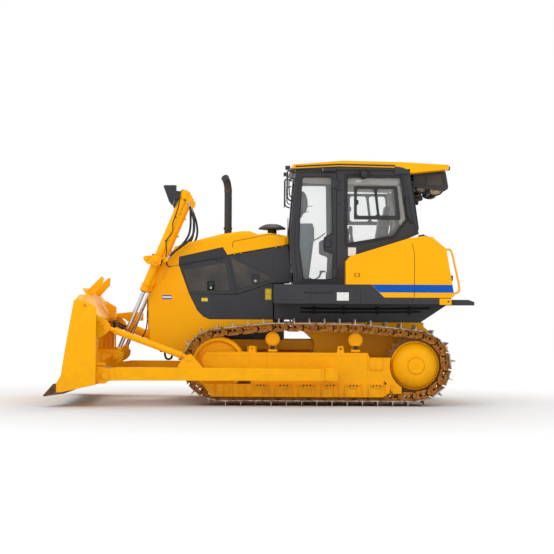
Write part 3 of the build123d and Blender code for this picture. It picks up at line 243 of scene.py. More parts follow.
seamShade = grained("shadedLidGap", "#8A5208", "#6E4006", 0.7, 0.0, 3.0, 0.1)
rubber = grained("extrudedRubber", "#121213", "#19191A", 0.62, 0.0, 1.5, 0.2)
hoseRubber = grained("braidedHoseCover", "#171718", "#232222", 0.55, 0.0, 2.0, 0.25)
linkPaint = rustedPaint("rustyForgedLinks", "#C98416", "#8F4E12", "#3A220E", 0.6)
shoeSteel = polishedShoe("rubbedShoePlate", "#B9AFA2", "#7C5A35", 0.42)
trackSteel = grained("rolledTrackSteel", "#8A5A24", "#5C3D1C", 0.6, 0.3, 8.0, 0.8)
edgeSteel = grained("scouredEdgeSteel", "#6E4A2C", "#4A3524", 0.45, 0.6, 7.0, 0.7, stretch=(3, 1, 1))
zinc = grained("zincPlatedSteel", "#B8BABC", "#A6A8AA", 0.32, 1.0, 3.0, 0.08)
hardChrome = grained("hardChromeRod", "#D4D5D8", "#C9CACD", 0.1, 1.0, 14.0, 0.01, edge=0.5)
engineGrey = grained("engineEnamel", "#4A4B4C", "#3A3B3C", 0.5, 0.0, 6.0, 0.3)
seatVinyl = grained("grainedVinyl", "#232327", "#2B2B30", 0.5, 0.0, 2.2, 0.5)
liner = grained("feltHeadliner", "#B7ADA4", "#A89E95", 0.9, 0.0, 2.5, 0.4)
paleFan = grained("beigeFanPlastic", "#B9A892", "#A8967F", 0.55, 0.0, 1.6, 0.2)
paleConsole = grained("greyMouldedDash", "#5C6670", "#535D67", 0.55, 0.0, 1.6, 0.2)
moulded = grained("mouldedConsole", "#3A3C42", "#33353A", 0.48, 0.0, 1.6, 0.2)
lampLens = grained("prismaticLens", "#E9EEF0", "#D8DEE2", 0.08, 0.0, 8.0, 0.4, {"IOR": 1.49}, 0.5)
redLens = grained("redLampLens", "#B0140E", "#960F0B", 0.15, 0.0, 8.0, 0.4, {"IOR": 1.49}, 0.5)
glass = clearGlass("toughenedGlass", "#E4ECEC", "#C9D2D2")

finishOf = {"yellow_paint": yellow, "dark_paint": charcoal, "stack_steel": mattBlack, "track_steel": trackSteel,
            "worn_edge_steel": edgeSteel, "chrome": hardChrome, "engine_paint": engineGrey, "glass": glass,
            "seat_vinyl": seatVinyl, "console_plastic": moulded, "hose_rubber": hoseRubber}
# the slot that a finish belongs to, unless a piece says otherwise
usualSlot = {finish.name: slot for slot, finishes in {
    "yellow_paint": (yellow, seamShade, paleYellow),
    "dark_paint": (charcoal, underbodyShade, bareStrip, screenMesh, blackPlastic, rubber, liner),
    "glass": (white, lampLens, redLens), "chrome": (zinc, hardChrome), "stack_steel": (mattBlack, heatBrown),
    "console_plastic": (paleConsole, paleFan), "hose_rubber": (hoseRubber,),
    "track_steel": (trackSteel,)}.items() for finish in finishes}
for part in frame["record"]["subparts"]:
    mesh = nodes[part["node"]].data
    mesh.materials.clear()
    mesh.materials.append(finishOf[part["material_slot"]])
print("finishes laid")


# pressure hoses of the lift cylinders: from the head's port block to the one by the trunnion
hoses = {"lengths": (871.5, 919.8), "radius": 15, "cylinder": 665, "spread": 44, "top": (-1010, 2706),
         "topWay": (0.347, -0.938), "foot": (-1290, 1950),
         "footWay": (0.64, 0.768), "leads": ((70, 90), (86, 117)), "gap": 0.3,
         "routes": ([(-981, 2530), (-980, 2390), (-1003, 2262), (-1098, 2130)],
                    [(-945, 2520), (-925, 2385), (-945, 2262), (-1035, 2160)])}


def makeHoses(spec):
    for side, word in sides:
        for k in (0, 1):
            y = side * (spec["cylinder"] + (k - 0.5) * spec["spread"])
            ends = [[(x + way[0] * reach, z + way[1] * reach) for reach in (spec["gap"], spec["leads"][k][i])]
                    for i, ((x, z), way) in enumerate(((spec["top"], spec["topWay"]),
                                                       (spec["foot"], spec["footWay"])))]
            points = ends[0] + spec["routes"][k] + ends[1][::-1]
            curve = bpy.data.curves.new("liftHose", "CURVE")
            curve.dimensions, curve.resolution_u = "3D", 10
            spline = curve.splines.new("NURBS")
            spline.points.add(len(points) - 1)
            for point, (x, z) in zip(spline.points, points):
                point.co = (x * mm, y * mm, z * mm, 1)
            spline.order_u = 3
            spline.use_endpoint_u = True
            curve.bevel_depth, curve.bevel_resolution, curve.use_fill_caps = spec["radius"] * mm, 4, True
            curve.materials.append(hoseRubber)
            hose = linked(f"liftHose.{word}.{k}", curve)
            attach(hose, "lift_barrel_" + word)
            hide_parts("lift_hoses_" + word)


makeHoses(hoses)
print("hoses laid")


# forms, all sizes in mm
def written(name, form):
    mesh = bpy.data.meshes.new(name)
    form.to_mesh(mesh)
    form.free()
    return mesh


def joined(name, meshes):
    # several forms as one mesh
    form = bmesh.new()
    for mesh in meshes:
        form.from_mesh(mesh)
        bpy.data.meshes.remove(mesh)
    return written(name, form)


def plate(loops, low, high, edge=2.0, along="Y"):
    # a cut plate: the first loop is its outline, the rest are holes
    curve = bpy.data.curves.new("outline", "CURVE")
    curve.dimensions, curve.fill_mode = "2D", "BOTH"
    for loop in loops:
        spline = curve.splines.new("POLY")
        spline.points.add(len(loop) - 1)
        for point, (a, b) in zip(spline.points, loop):
            point.co = (a * mm, b * mm, 0, 1)
        spline.use_cyclic_u = True
    edge = min(edge, (high - low) * 0.49)
    curve.extrude = ((high - low) / 2 - edge) * mm
    curve.bevel_depth, curve.bevel_resolution, curve.offset = edge * mm, 1, -edge * mm
    shape = bpy.data.objects.new("outline", curve)
    mesh = bpy.data.meshes.new_from_object(shape)
    middle = (low + high) / 2 * mm
    if along == "Y":      # outline is (x, z)
        mesh.transform(Matrix.Translation((0, middle, 0)) @ Matrix.Rotation(math.pi / 2, 4, "X"))
    elif along == "X":    # outline is (y, z)
        mesh.transform(Matrix.Translation((middle, 0, 0)) @ Matrix(((0, 0, 1, 0), (1, 0, 0, 0), (0, 1, 0, 0),
                                                                    (0, 0, 0, 1))))
    else:                 # outline is (x, y)
        mesh.transform(Matrix.Translation((0, 0, middle)))
    bpy.data.objects.remove(shape)
    return mesh


def rounded(points, radius, steps=5):
    # the same loop with arcs at its corners
    result, count = [], len(points)
    for i, point in enumerate(points):
        here, before, after = Vector(point), Vector(points[i - 1]), Vector(points[(i + 1) % count])
        back, ahead = (before - here), (after - here)
        turn = back.angle(ahead)
        reach = min(radius / math.tan(turn / 2), back.length * 0.49, ahead.length * 0.49)
        size = reach * math.tan(turn / 2)
        middle = here + (back.normalized() + ahead.normalized()).normalized() * (size / math.sin(turn / 2))
        first, last = here + back.normalized() * reach, here + ahead.normalized() * reach
        a, b = (first - middle), (last - middle)
        swing = a.angle_signed(b) if a.length and b.length else 0
        for k in range(steps + 1):
            angle = -swing * k / steps
            result.append(tuple(middle + Vector((a.x * math.cos(angle) - a.y * math.sin(angle),
                                                 a.x * math.sin(angle) + a.y * math.cos(angle)))))
    return result


def circle(centre, radius, steps=28):
    return [(centre[0] + radius * math.cos(2 * math.pi * k / steps),
             centre[1] + radius * math.sin(2 * math.pi * k / steps))
            for k in range(steps)]


def oblong(x0, z0, x1, z1, radius=10):
    return rounded([(x0, z0), (x1, z0), (x1, z1), (x0, z1)], radius)


def lathe(profile, start, toward, count=40):
    # a turned form: profile is (distance along, radius) from start
    start, toward = Vector(start), Vector(toward).normalized()
    turn = toward.to_track_quat("Z", "Y").to_matrix()
    form = bmesh.new()
    rings = []
    for distance, radius in profile:
        if radius < 0.01:
            rings.append([form.verts.new((start + toward * distance) * mm)])
            continue
        rings.append([form.verts.new((start + turn @ Vector((radius * math.cos(2 * math.pi * k / count),
                                                             radius * math.sin(2 * math.pi * k / count),
                                                             distance))) * mm)
                      for k in range(count)])
    for first, second in zip(rings, rings[1:]):
        for k in range(count):
            n = (k + 1) % count
            if len(first) == 1:
                form.faces.new((first[0], second[n], second[k]))
            elif len(second) == 1:
                form.faces.new((first[k], first[n], second[0]))
            else:
                form.faces.new((first[k], first[n], second[n], second[k]))
    for ring, flip in ((rings[0], True), (rings[-1], False)):
        if len(ring) > 1:
            form.faces.new(reversed(ring) if flip else ring)
    bmesh.ops.recalc_face_normals(form, faces=form.faces)
    return written("turned", form)


def rod(start, end, radius, edge=2.0, count=28):
    length = (Vector(end) - Vector(start)).length
    edge = min(edge, radius * 0.4, length * 0.3)
    return lathe([(0, radius - edge), (edge, radius), (length - edge, radius), (length, radius - edge)],
                 start, Vector(end) - Vector(start), count)


def brick(low, high, edge=3.0):
    form = bmesh.new()
    bmesh.ops.create_cube(form, size=1)
    for vert in form.verts:
        vert.co = Vector([(low[i] + (high[i] - low[i]) * (vert.co[i] + 0.5)) * mm for i in range(3)])
    edge = min([edge] + [(high[i] - low[i]) * 0.3 for i in range(3)])
    bmesh.ops.bevel(form, geom=form.edges[:], offset=edge * mm, segments=2, profile=0.5, affect="EDGES")
    return written("brick", form)


def pipe(points, radius, smooth=True, count=6):
    # a bent round bar through the points
    curve = bpy.data.curves.new("run", "CURVE")
    curve.dimensions, curve.resolution_u = "3D", 8
    spline = curve.splines.new("NURBS" if smooth else "POLY")
    spline.points.add(len(points) - 1)
    for point, place in zip(spline.points, points):
        point.co = (*(Vector(place) * mm), 1)
    if smooth:
        spline.order_u = 3
        spline.use_endpoint_u = True
    curve.bevel_depth, curve.bevel_resolution, curve.use_fill_caps = radius * mm, count // 2, True
    shape = bpy.data.objects.new("run", curve)
    mesh = bpy.data.meshes.new_from_object(shape)
    bpy.data.objects.remove(shape)
    return mesh


def sidePipe(y, points, radius, smooth=True, count=6):
    # a pipe that keeps one distance from the middle of the machine: its points are (x, z)
    return pipe([(x, y, z) for x, z in points], radius, smooth, count)


def across(side, first, last):
    # two distances from the middle of the machine, as limits on one side of it
    return sorted((side * first, side * last))


def slab(side, loops, first, last, edge=2.0):
    # a plate on one side of the machine, between two distances from its middle
    return plate(loops, *across(side, first, last), edge)


def sideBrick(side, xs, ys, zs, edge=3.0):
    return brick(*zip(xs, across(side, *ys), zs), edge)


def shell(mesh, moved):
    mesh.transform(moved)
    return mesh


def baked(item):
    # the mesh that the item's modifiers give
    return bpy.data.meshes.new_from_object(item.evaluated_get(bpy.context.evaluated_depsgraph_get()))


def gather(name, meshes, material, body="chassis", slot=None, crease=32):
    # several forms as one piece of the machine in one finish, fastened to its body
    mesh = joined(name, meshes)
    mesh.materials.clear()
    mesh.materials.append(material)
    for polygon in mesh.polygons:
        polygon.material_index = 0
        polygon.use_smooth = True
    mesh.set_sharp_from_angle(angle=math.radians(crease))
    piece = linked(name, mesh)
    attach(piece, body)
    slot = slot or usualSlot.get(material.name)
    return piece


# trees that repeat a form on points, each point with its turn in the attribute "spin"
def openTree(name, inputs):
    tree = bpy.data.node_groups.new(name, "GeometryNodeTree")
    tree.interface.new_socket("Geometry", in_out="INPUT", socket_type="NodeSocketGeometry")
    for label, kind, value in inputs:
        socket = tree.interface.new_socket(label, in_out="INPUT", socket_type=kind)
        if value is not None:
            socket.default_value = value
    tree.interface.new_socket("Geometry", in_out="OUTPUT", socket_type="NodeSocketGeometry")
    return tree, addNode(tree, "NodeGroupInput")


def closeTree(tree, entry, part, socket, seeded=True):
    spin = addNode(tree, "GeometryNodeInputNamedAttribute", {"data_type": "FLOAT_VECTOR"}, {"Name": "spin"})
    placed = addNode(tree, "GeometryNodeInstanceOnPoints",
                     wires={"Points": (entry, "Geometry"), "Instance": (part, socket),
                            "Rotation": (spin, "Attribute")})
    if seeded:
        chance = addNode(tree, "FunctionNodeRandomValue", {"data_type": "FLOAT"})
        chance.inputs["Seed"].default_value = 7
        next(s for s in chance.inputs if s.identifier == "Max_001").default_value = 1.05
        about = addNode(tree, "ShaderNodeCombineXYZ")
        tree.links.new(next(s for s in chance.outputs if s.identifier == "Value_001"), about.inputs["Z"])
        placed = addNode(tree, "GeometryNodeRotateInstances",
                         wires={"Instances": (placed, "Instances"), "Rotation": (about, 0)})
    real = addNode(tree, "GeometryNodeRealizeInstances", wires={"Geometry": (placed, "Instances")})
    dressed = addNode(tree, "GeometryNodeSetMaterial",
                      wires={"Geometry": (real, "Geometry"), "Material": (entry, "finish")})
    addNode(tree, "NodeGroupOutput", wires={"Geometry": (dressed, "Geometry")})
    return tree


def boltTree():
    tree, entry = openTree("hexBolts",
                           [("head radius", "NodeSocketFloat", 0.012), ("head height", "NodeSocketFloat", 0.01),
                                        ("washer radius", "NodeSocketFloat", 0.017),
                            ("finish", "NodeSocketMaterial", None)])
    lift = addNode(tree, "ShaderNodeMath", {"operation": "MULTIPLY"}, {1: 0.5}, {0: (entry, "head height")})
    raise_ = addNode(tree, "ShaderNodeCombineXYZ", wires={"Z": (lift, 0)})
    head = addNode(tree, "GeometryNodeMeshCylinder", values={"Vertices": 6},
                   wires={"Radius": (entry, "head radius"), "Depth": (entry, "head height")})
    moved = addNode(tree, "GeometryNodeTransform", wires={"Geometry": (head, "Mesh"), "Translation": (raise_, 0)})
    thin = addNode(tree, "ShaderNodeMath", {"operation": "MULTIPLY"}, {1: 0.45}, {0: (entry, "head height")})
    washer = addNode(tree, "GeometryNodeMeshCylinder", values={"Vertices": 14},
                     wires={"Radius": (entry, "washer radius"), "Depth": (thin, 0)})
    both = addNode(tree, "GeometryNodeJoinGeometry")
    tree.links.new(moved.outputs[0], both.inputs[0])
    tree.links.new(washer.outputs["Mesh"], both.inputs[0])
    return closeTree(tree, entry, both, 0)


def objectTree():
    tree, entry = openTree("repeatedPart",
                           [("part", "NodeSocketObject", None), ("finish", "NodeSocketMaterial", None)])
    part = addNode(tree, "GeometryNodeObjectInfo", wires={"Object": (entry, "part")})
    return closeTree(tree, entry, part, "Geometry", False)


hexBolts, repeatedPart = boltTree(), objectTree()


def repeatOn(name, tree, values, places, body, crease=32):
    # places are (point in mm, turn as an Euler), baked to one plain mesh
    mesh = bpy.data.meshes.new(name + "Points")
    mesh.from_pydata([Vector(point) * mm for point, turn in places], [], [])
    spin = mesh.attributes.new("spin", "FLOAT_VECTOR", "POINT")
    spin.data.foreach_set("vector", [value for point, turn in places for value in turn])
    host = linked(name, mesh)
    modifier = host.modifiers.new("repeat", "NODES")
    modifier.node_group = tree
    for item in tree.interface.items_tree:
        if item.in_out == "INPUT" and item.name in values:
            modifier[item.identifier] = values[item.name]
    plain = baked(host)
    host.modifiers.clear()
    host.data = plain
    for polygon in plain.polygons:
        polygon.use_smooth = True
    plain.set_sharp_from_angle(angle=math.radians(crease))
    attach(host, body)
    return host


def facing(direction):
    return tuple(Vector(direction).to_track_quat("Z", "Y").to_euler())


def bolts(name, places, size, material, body="chassis"):
    # hex heads: places are (point, outward direction), size is the width across flats in mm
    values = {"head radius": size * 0.577 * mm, "head height": size * 0.6 * mm, "washer radius": size * 0.85 * mm,
              "finish": material}
    return repeatOn(name, hexBolts, values, [(p, facing(d)) for p, d in places], body,
                    25)


def ringOf(centre, radius, count, y, outward, first=0.0):
    # bolt places on a circle that lies in a side plane
    return [((centre[0] + radius * math.cos(first + 2 * math.pi * k / count), y,
              centre[1] + radius * math.sin(first + 2 * math.pi * k / count)), (0, outward, 0)) for k in range(count)]


print("helpers ready")


# tracks: forged links and rolled shoes on the line of the chain pins
chain = {"wheels": ((-589, 542.7, 414.7), (132, 880, 152), (1235, 871, 152), (2029, 536.5, 408.5)), "floor": 128,
         "links": 39,
         "rail": 52, "seat": 53, "row": (55, 100), "middle": 940, "halfShoe": 280, "plate": 13, "grouser": 62}


def chainPins(spec):
    # pins at equal steps round the wheels, from below the front wheel
    wheels, line = spec["wheels"], []
    joins = []
    for first, second in zip(wheels, wheels[1:]):
        run = math.hypot(second[0] - first[0], second[1] - first[1])
        slope = math.atan2(second[1] - first[1], second[0] - first[0])
        joins.append(slope + math.pi / 2 - math.asin((first[2] - second[2]) / run))

    def arc(wheel, start, stop):
        steps = max(2, int(abs(stop - start) * wheel[2]))
        return [(wheel[0] + wheel[2] * math.cos(start + (stop - start) * k / steps),
                 wheel[1] + wheel[2] * math.sin(start + (stop - start) * k / steps)) for k in range(steps + 1)]

    line += arc(wheels[3], -math.pi / 2, joins[2])
    line += arc(wheels[2], joins[2], joins[1])
    line += arc(wheels[1], joins[1], joins[0])
    line += arc(wheels[0], joins[0], math.pi * 1.5)
    line.insert(0, (wheels[0][0], spec["floor"]))
    lengths = [0.0]
    for a, b in zip(line, line[1:]):
        lengths.append(lengths[-1] + math.hypot(b[0] - a[0], b[1] - a[1]))
    pins, k = [], 0
    for i in range(spec["links"]):
        want = lengths[-1] * i / spec["links"]
        while lengths[k + 1] < want:
            k += 1
        share = (want - lengths[k]) / (lengths[k + 1] - lengths[k])
        a, b = line[k], line[k + 1]
        pins.append((a[0] + (b[0] - a[0]) * share, a[1] + (b[1] - a[1]) * share))
    return pins, lengths[-1] / spec["links"]


def makeTracks(spec):
    pins, pitch = chainPins(spec)
    half, inner, outer = pitch / 2, *spec["row"]
    rail, seat = spec["rail"], spec["seat"]
    body = rounded([(-74, -44), (-58, -rail), (74, -rail), (90, -42), (92, 30), (92, seat), (-92, seat), (-92, 34),
                    (-62, 18)], 8, 3)
    windows = [rounded([(-34, -6), (2, -6), (2, 28), (-34, 28)], 14, 4),
               rounded([(26, -6), (60, -6), (60, 28), (26, 28)], 14, 4)]
    parts = []
    for side in (-1, 1):
        parts += [slab(side, [body] + windows, inner, outer, 3),
                  slab(side, [circle((-half, 0), 43, 20)], inner + 23, outer, 2),
                  slab(side, [circle((half, 0), 43, 20)], inner, inner + 22, 2),
                  slab(side, [circle((-half, 0), 22, 16)], outer, outer + 4, 1)]
    parts.append(rod((half, -inner, 0), (half, inner, 0), 32, 2, 20))
    link = linked("linkTemplate", joined("linkTemplate", parts))
    top = seat + spec["plate"]
    profile = [(-105, seat + 6), (-98, seat), (90, seat), (100, seat + 5), (106, seat + 12), (104, top + 3),
               (92, top), (26, top),
               (8, top + 6), (5, top + spec["grouser"] - 1), (-4, top + spec["grouser"]), (-8, top + 6), (-20, top),
               (-92, top), (-103, top + 2)]
    wide = spec["halfShoe"]
    shoeParts = [plate([profile], -wide, wide, 1.5)]
    for x in (-52, 58):
        for y in (-84, -60, 60, 84):
            shoeParts.append(rod((x, y, top), (x, y, top + 9), 11, 2, 6))
    shoe = linked("shoeTemplate", joined("shoeTemplate", shoeParts))
    for side, word in sides:
        places = []
        for (x, z), (x2, z2) in zip(pins, pins[1:] + pins[:1]):
            run = Vector((x2 - x, 0, z2 - z)).normalized()
            out = Vector((run.z, 0, -run.x))
            turn = Matrix((run, out.cross(run), out)).transposed().to_euler()
            places.append((((x + x2) / 2, side * spec["middle"], (z + z2) / 2), tuple(turn)))
        links = repeatOn("trackLinks." + word, repeatedPart, {"part": link, "finish": linkPaint}, places, "chassis")
        repeatOn("trackShoes." + word, repeatedPart, {"part": shoe, "finish": shoeSteel}, places, "chassis")
        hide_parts("track_" + word)
    for part in (link, shoe):
        bpy.data.objects.remove(part)


makeTracks(chain)
print("tracks laid")

# final drives: smooth turned cases with a bolted rim
drive = {"centre": (2029, 536.5), "middle": 940, "bolts": 28, "sprocketBolts": 25}


def makeDrives(spec):
    x, z = spec["centre"]
    dome = [(74 + 176 * math.sin(t), 118 + 188 * math.cos(t)) for t in [math.radians(a) for a in range(0, 91, 9)]]
    profile = [(-380, 285), (-150, 265), (-60, 265), (-60, 299.5), (35, 299.5), (35, 322), (38, 325), (62, 325),
               (66, 322), (67, 306)]
    profile += dome + [(250, 114), (244, 112), (244, 108), (262, 106), (265, 102), (265, 13), (259, 9), (259, 0)]
    for side, word in sides:
        case = lathe(profile, (x, side * spec["middle"], z), (0, side, 0), 96)
        piece = gather("finalDriveCase." + word, [case], yellow, crease=24)
        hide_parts("final_drives")
        out = side * (spec["middle"] + 65)
        bolts("finalDriveBolts." + word, ringOf(spec["centre"], 315, spec["bolts"], out, side), 15, yellow)
        bolts("sprocketBolts." + word, ringOf(spec["centre"], 352, spec["sprocketBolts"],
                                              side * (spec["middle"] + 35), side, 0.12), 24, trackSteel)


makeDrives(drive)

# track frames: guard ribs and collars, bolted cover, pivot caps
frameTrim = {"face": 1090, "guardFace": 1106, "collarX": (-28, 280.4, 588.8, 897.2, 1205.6, 1514),
             "carriers": ((132, 880), (1235, 871)), "pivot": (895, 435)}


def makeFrameTrim(spec):
    for side, word in sides:
        y = side * spec["face"]
        parts = []
        # bolted cover at the rear and the weld bead lines of the beam
        parts.append(slab(side, [oblong(1417, 472, 1596, 640, 8)], 1088, 1102, 3))
        parts.append(slab(side, [oblong(1417, 505, 1500, 560, 6)], 1102, 1106, 2))
        parts.append(slab(side, [oblong(-620, 700, -160, 712, 4)], 1040, 1092, 3))
        for x in (-180, 60, 1390):
            parts.append(sidePipe(y, [(x, 420), (x, 560), (x, 700)], 4, False))
        parts.append(sidePipe(y, [(-740, 664), (300, 664), (1380, 664)], 3, False))
        gather("frameCover." + word, parts, yellow)
        places = [((x, side * 1102, z), (0, side, 0)) for x in (1435, 1506, 1578) for z in (490, 622)]
        places += [((x, side * 1090, 520), (0, side, 0)) for x in (-705, -660)]
        bolts("frameBolts." + word, places, 17, yellow)
        # guard: scalloped roller collars, rib pairs leaning together, a rolled lower lip
        parts, face = [], spec["guardFace"]
        for x in spec["collarX"]:
            arch = [math.radians(200 + 14 * k) for k in range(11)]
            loop = [(x - 92, 285), (x - 84, 262)] + [(x + 72 * math.cos(a), 286 + 52 * math.sin(a)) for a in arch]
            loop += [(x + 84, 262), (x + 92, 285)]
            parts.append(slab(side, [loop], face, face + 16, 3))
        ribs = [x + 154 for x in spec["collarX"]] + [-182]
        for x in ribs:
            for lean in (-1, 1):
                parts.append(slab(side, [[(x + lean * 44, 284), (x + lean * 52, 284), (x + lean * 34, 122),
                                          (x + lean * 26, 122)]], face, face + 14, 2))
        for x in (-640, -520, -400, -290):
            parts.append(slab(side, [[(x, 284), (x + 9, 284), (x + 15, 122), (x + 6, 122)]], face, face + 14, 2))
        parts.append(sidePipe(side * (face + 4), [(-700, 120), (500, 118), (1600, 120)], 6, False))
        gather("guardTrim." + word, parts, yellow)
        places = [((x + dx, side * (face + 16), 268), (0, side, 0)) for x in spec["collarX"] for dx in (-44, 0, 44)]
        bolts("collarBolts." + word, places, 15, trackSteel)
        # carrier roller faces
        parts = []
        for x, z in spec["carriers"]:
            parts.append(lathe([(0, 72), (3, 76), (10, 76), (14, 72), (14, 60), (9, 57), (9, 20), (14, 16), (14, 0)],
                               (x, side * 1058, z), (0, side, 0), 32))
            parts.append(slab(side, [oblong(x - 62, 716, x + 62, 742, 4)], 1010, 1070, 3))
        gather("carrierCaps." + word, parts, yellow)
        places = [p for x, z in spec["carriers"] for p in ringOf((x, z), 40, 6, side * 1067, side)]
        bolts("carrierBolts." + word, places, 11, yellow)
        blocks = [sideBrick(side, (x - 30, x + 30), (1016, 1052), (745, 790)) for x, z in spec["carriers"]]
        gather("carrierBlocks." + word, blocks, blackPlastic)
        # caps over the ends of the arm trunnions
        x, z = spec["pivot"]
        parts = [slab(side, [oblong(x - 80, z - 90, x + 78, z + 78, 14)], 1478, 1500, 4),
                 lathe([(0, 52), (8, 52), (12, 48), (12, 0)], (x, side * 1497, z - 4), (0, side, 0), 32)]
        gather("pivotCap." + word, parts, yellow)
        places = [((x + dx, side * 1500, z - 6 + dz), (0, side, 0)) for dx in (-60, 58) for dz in (-66, 66)]
        bolts("pivotBolts." + word, places, 18, yellow)


makeFrameTrim(frameTrim)
print("undercarriage dressed")

# hood and side panels: lid seam, rubber edge, bare strip, stamped door fields, latches
hoodTrim = {"face": 570, "panel": 568,
            "roof": [(-1295, 1918), (-1202, 2117), (-1076, 2164), (-555, 2297), (-287, 2337),
                                                (-177, 2337), (-65, 2294), (91, 2314), (240, 2290), (344, 2274)],
            "lid": [(-411, 2112), (-411, 2176), (-396, 2196), (85, 2292), (214, 2290), (232, 2276), (244, 2232)],
            "strip": [(-1124, 1973), (-546, 2105), (-492, 2008), (-1130, 1873)],
            "frontField": [(-1082, 1800), (-508, 1902), (-440, 1522), (-986, 1512)],
            "rearField": [(-436, 1972), (144, 2062), (142, 1690), (-330, 1540)],
            "latches": (("engine_door_front_", (-703, 1591)), ("engine_door_rear_", (-98, 1687)))}


def hoodOut(x, z, spec):
    # distance of the hood's skin from the middle at a point of its side, the shoulder included
    for (x1, z1), (x2, z2) in zip(spec["roof"], spec["roof"][1:]):
        if x1 <= x <= x2:
            top = z1 + (z2 - z1) * (x - x1) / (x2 - x1)
            return spec["face"] - max(0, z - (top - 46))
    return spec["face"]


def makeHoodTrim(spec):
    for side, word in sides:
        face, panel = spec["face"], spec["panel"]
        line = []
        for (x1, z1), (x2, z2) in zip(spec["lid"], spec["lid"][1:]):
            steps = max(1, int(math.hypot(x2 - x1, z2 - z1) / 30))
            line += [(x1 + (x2 - x1) * k / steps, z1 + (z2 - z1) * k / steps) for k in range(steps)]
        line.append(spec["lid"][-1])
        gather("lidSeam." + word, [pipe([(x, side * (hoodOut(x, z, spec) - 0.5), z) for x, z in line], 4.2, False)],
               seamShade)
        seams = []
        seams.append(sidePipe(side * 570, [(-1262, 1842), (-1200, 1856), (-1141, 1867)], 3, False))
        seams.append(pipe([(-1302, side * 571, 1940), (-1308, side * 573, 1895), (-1292, side * 573, 1856),
                           (-1258, side * 571, 1842)], 9))
        seams.append(sidePipe(side * 569, [(-1139, 1870), (-1133, 1980), (-546, 2114), (-484, 2010), (344, 2156)],
                              3.5, False))
        seams.append(sidePipe(side * 568, [(-1134, 1866), (-995, 1475), (-882, 1252), (-802, 1172), (-724, 1137),
                                           (138, 1137)], 3.5, False))
        gather("panelSeams." + word, seams, rubber)
        gap = [(-548, 2012), (-452, 2012), (-352, 1476), (-430, 1476)]
        gather("doorGapStrip." + word, [slab(side, [gap], panel - 14, panel - 9, 1)], charcoal)
        gather("bareNameStrip." + word, [slab(side, [rounded(spec["strip"], 8)], panel - 1, panel + 5, 2)], bareStrip)
        # stamped fields of the two doors: a screen below a crease, plain sheet above it
        field = rounded(spec["frontField"], 26)
        gather("frontDoorScreen." + word, [slab(side, [field], panel - 1, panel + 5, 3)], screenMesh,
               "engine_door_front_" + word)
        crease = [spec["rearField"][0], spec["rearField"][2]]
        gather("rearDoorScreen." + word, [slab(side, [rounded([crease[0], crease[1], spec["rearField"][3]], 18)],
                                               panel - 1, panel + 6, 4)], screenMesh, "engine_door_rear_" + word)
        gather("rearDoorField." + word, [slab(side, [rounded([(-400, 1975), (144, 2062), (144, 1716)], 18)],
                                              panel - 1, panel + 4, 3)], charcoal, "engine_door_rear_" + word)
        for body, (x, z) in spec["latches"]:
            cup = [slab(side, [oblong(x - 52, z - 66, x + 52, z + 66, 9), oblong(x - 43, z - 57, x + 43, z + 57, 6)],
                        panel + 3, panel + 11, 2),
                   slab(side, [oblong(x - 45, z - 59, x + 45, z + 59, 6)], panel + 2, panel + 5, 1),
                   slab(side, [oblong(x - 34, z - 2, x + 34, z + 50, 8)], panel + 4, panel + 13, 4)]
            gather(body.replace("_", ".") + "latchCup." + word, cup, blackPlastic, body + word)
            knob = lathe([(0, 19), (8, 19), (11, 16), (11, 8), (8, 6), (8, 0)], (x, side * (panel + 4), z - 28),
                         (0, side, 0), 28)
            gather(body.replace("_", ".") + "latchLock." + word, [knob], zinc, body + word)
        # blank plates: yellow ones on the lower panel, a blue and white one on the nose
        gather("yellowPlates." + word,
               [slab(side, [oblong(-830, 1378, -745, 1424, 5)], panel - 1, panel + 2, 0.8),
                slab(side, [oblong(33, 1400, 122, 1554, 5)], panel - 1, panel + 2, 0.8)], paleYellow)
        gather("plateRims." + word,
               [slab(side, [oblong(37, 1404, 118, 1550, 4), oblong(41, 1408, 114, 1546, 3)], panel + 1, panel + 3,
                     0.6), slab(side, [oblong(41, 1478, 114, 1482, 1)], panel + 1, panel + 3, 0.6)], blackPlastic)
        gather("nosePlate." + word, [slab(side, [oblong(-1362, 1404, -1234, 1460, 4)], face - 1, face + 2, 0.8)],
               blue, slot="yellow_paint")
        gather("nosePlateBand." + word, [slab(side, [oblong(-1359, 1420, -1237, 1444, 1)], face + 1, face + 3, 0.6)],
               white, slot="yellow_paint")
        # welded cheek: ribs and the bolts that hold the trunnion block
        ribs = [slab(side, [[(-1340, 1690), (-1296, 1780), (-1270, 1868), (-1290, 1868), (-1318, 1790),
                             (-1356, 1700)]], face - 1, face + 9, 3)]
        ribs.append(sidePipe(side * 570, [(-1445, 1592), (-1292, 1702), (-1302, 1864)], 5))
        ribs.append(sidePipe(side * 569, [(-1545, 1405), (-1527, 800)], 5, False))
        gather("noseRibs." + word, ribs, yellow)
        places = [((x, side * 784, z), (0, side, 0))
                  for x, z in ((-1394, 1967), (-1394, 1880), (-1500, 1880), (-1520, 1975))]
        bolts("cheekBolts." + word, places, 20, yellow)
    caps = [lathe([(0, 36), (10, 38), (16, 36), (16, 30), (24, 28), (28, 22), (28, 0)], (-1435, side * 784, 1922),
                  (0, side, 0), 32)
            for side, word in sides]
    caps += [lathe([(0, 34), (9, 34), (14, 30), (14, 0)], (-1576, side * 784, 1954), (0, side, 0), 28)
             for side, word in sides]
    gather("trunnionCaps", caps, yellow)


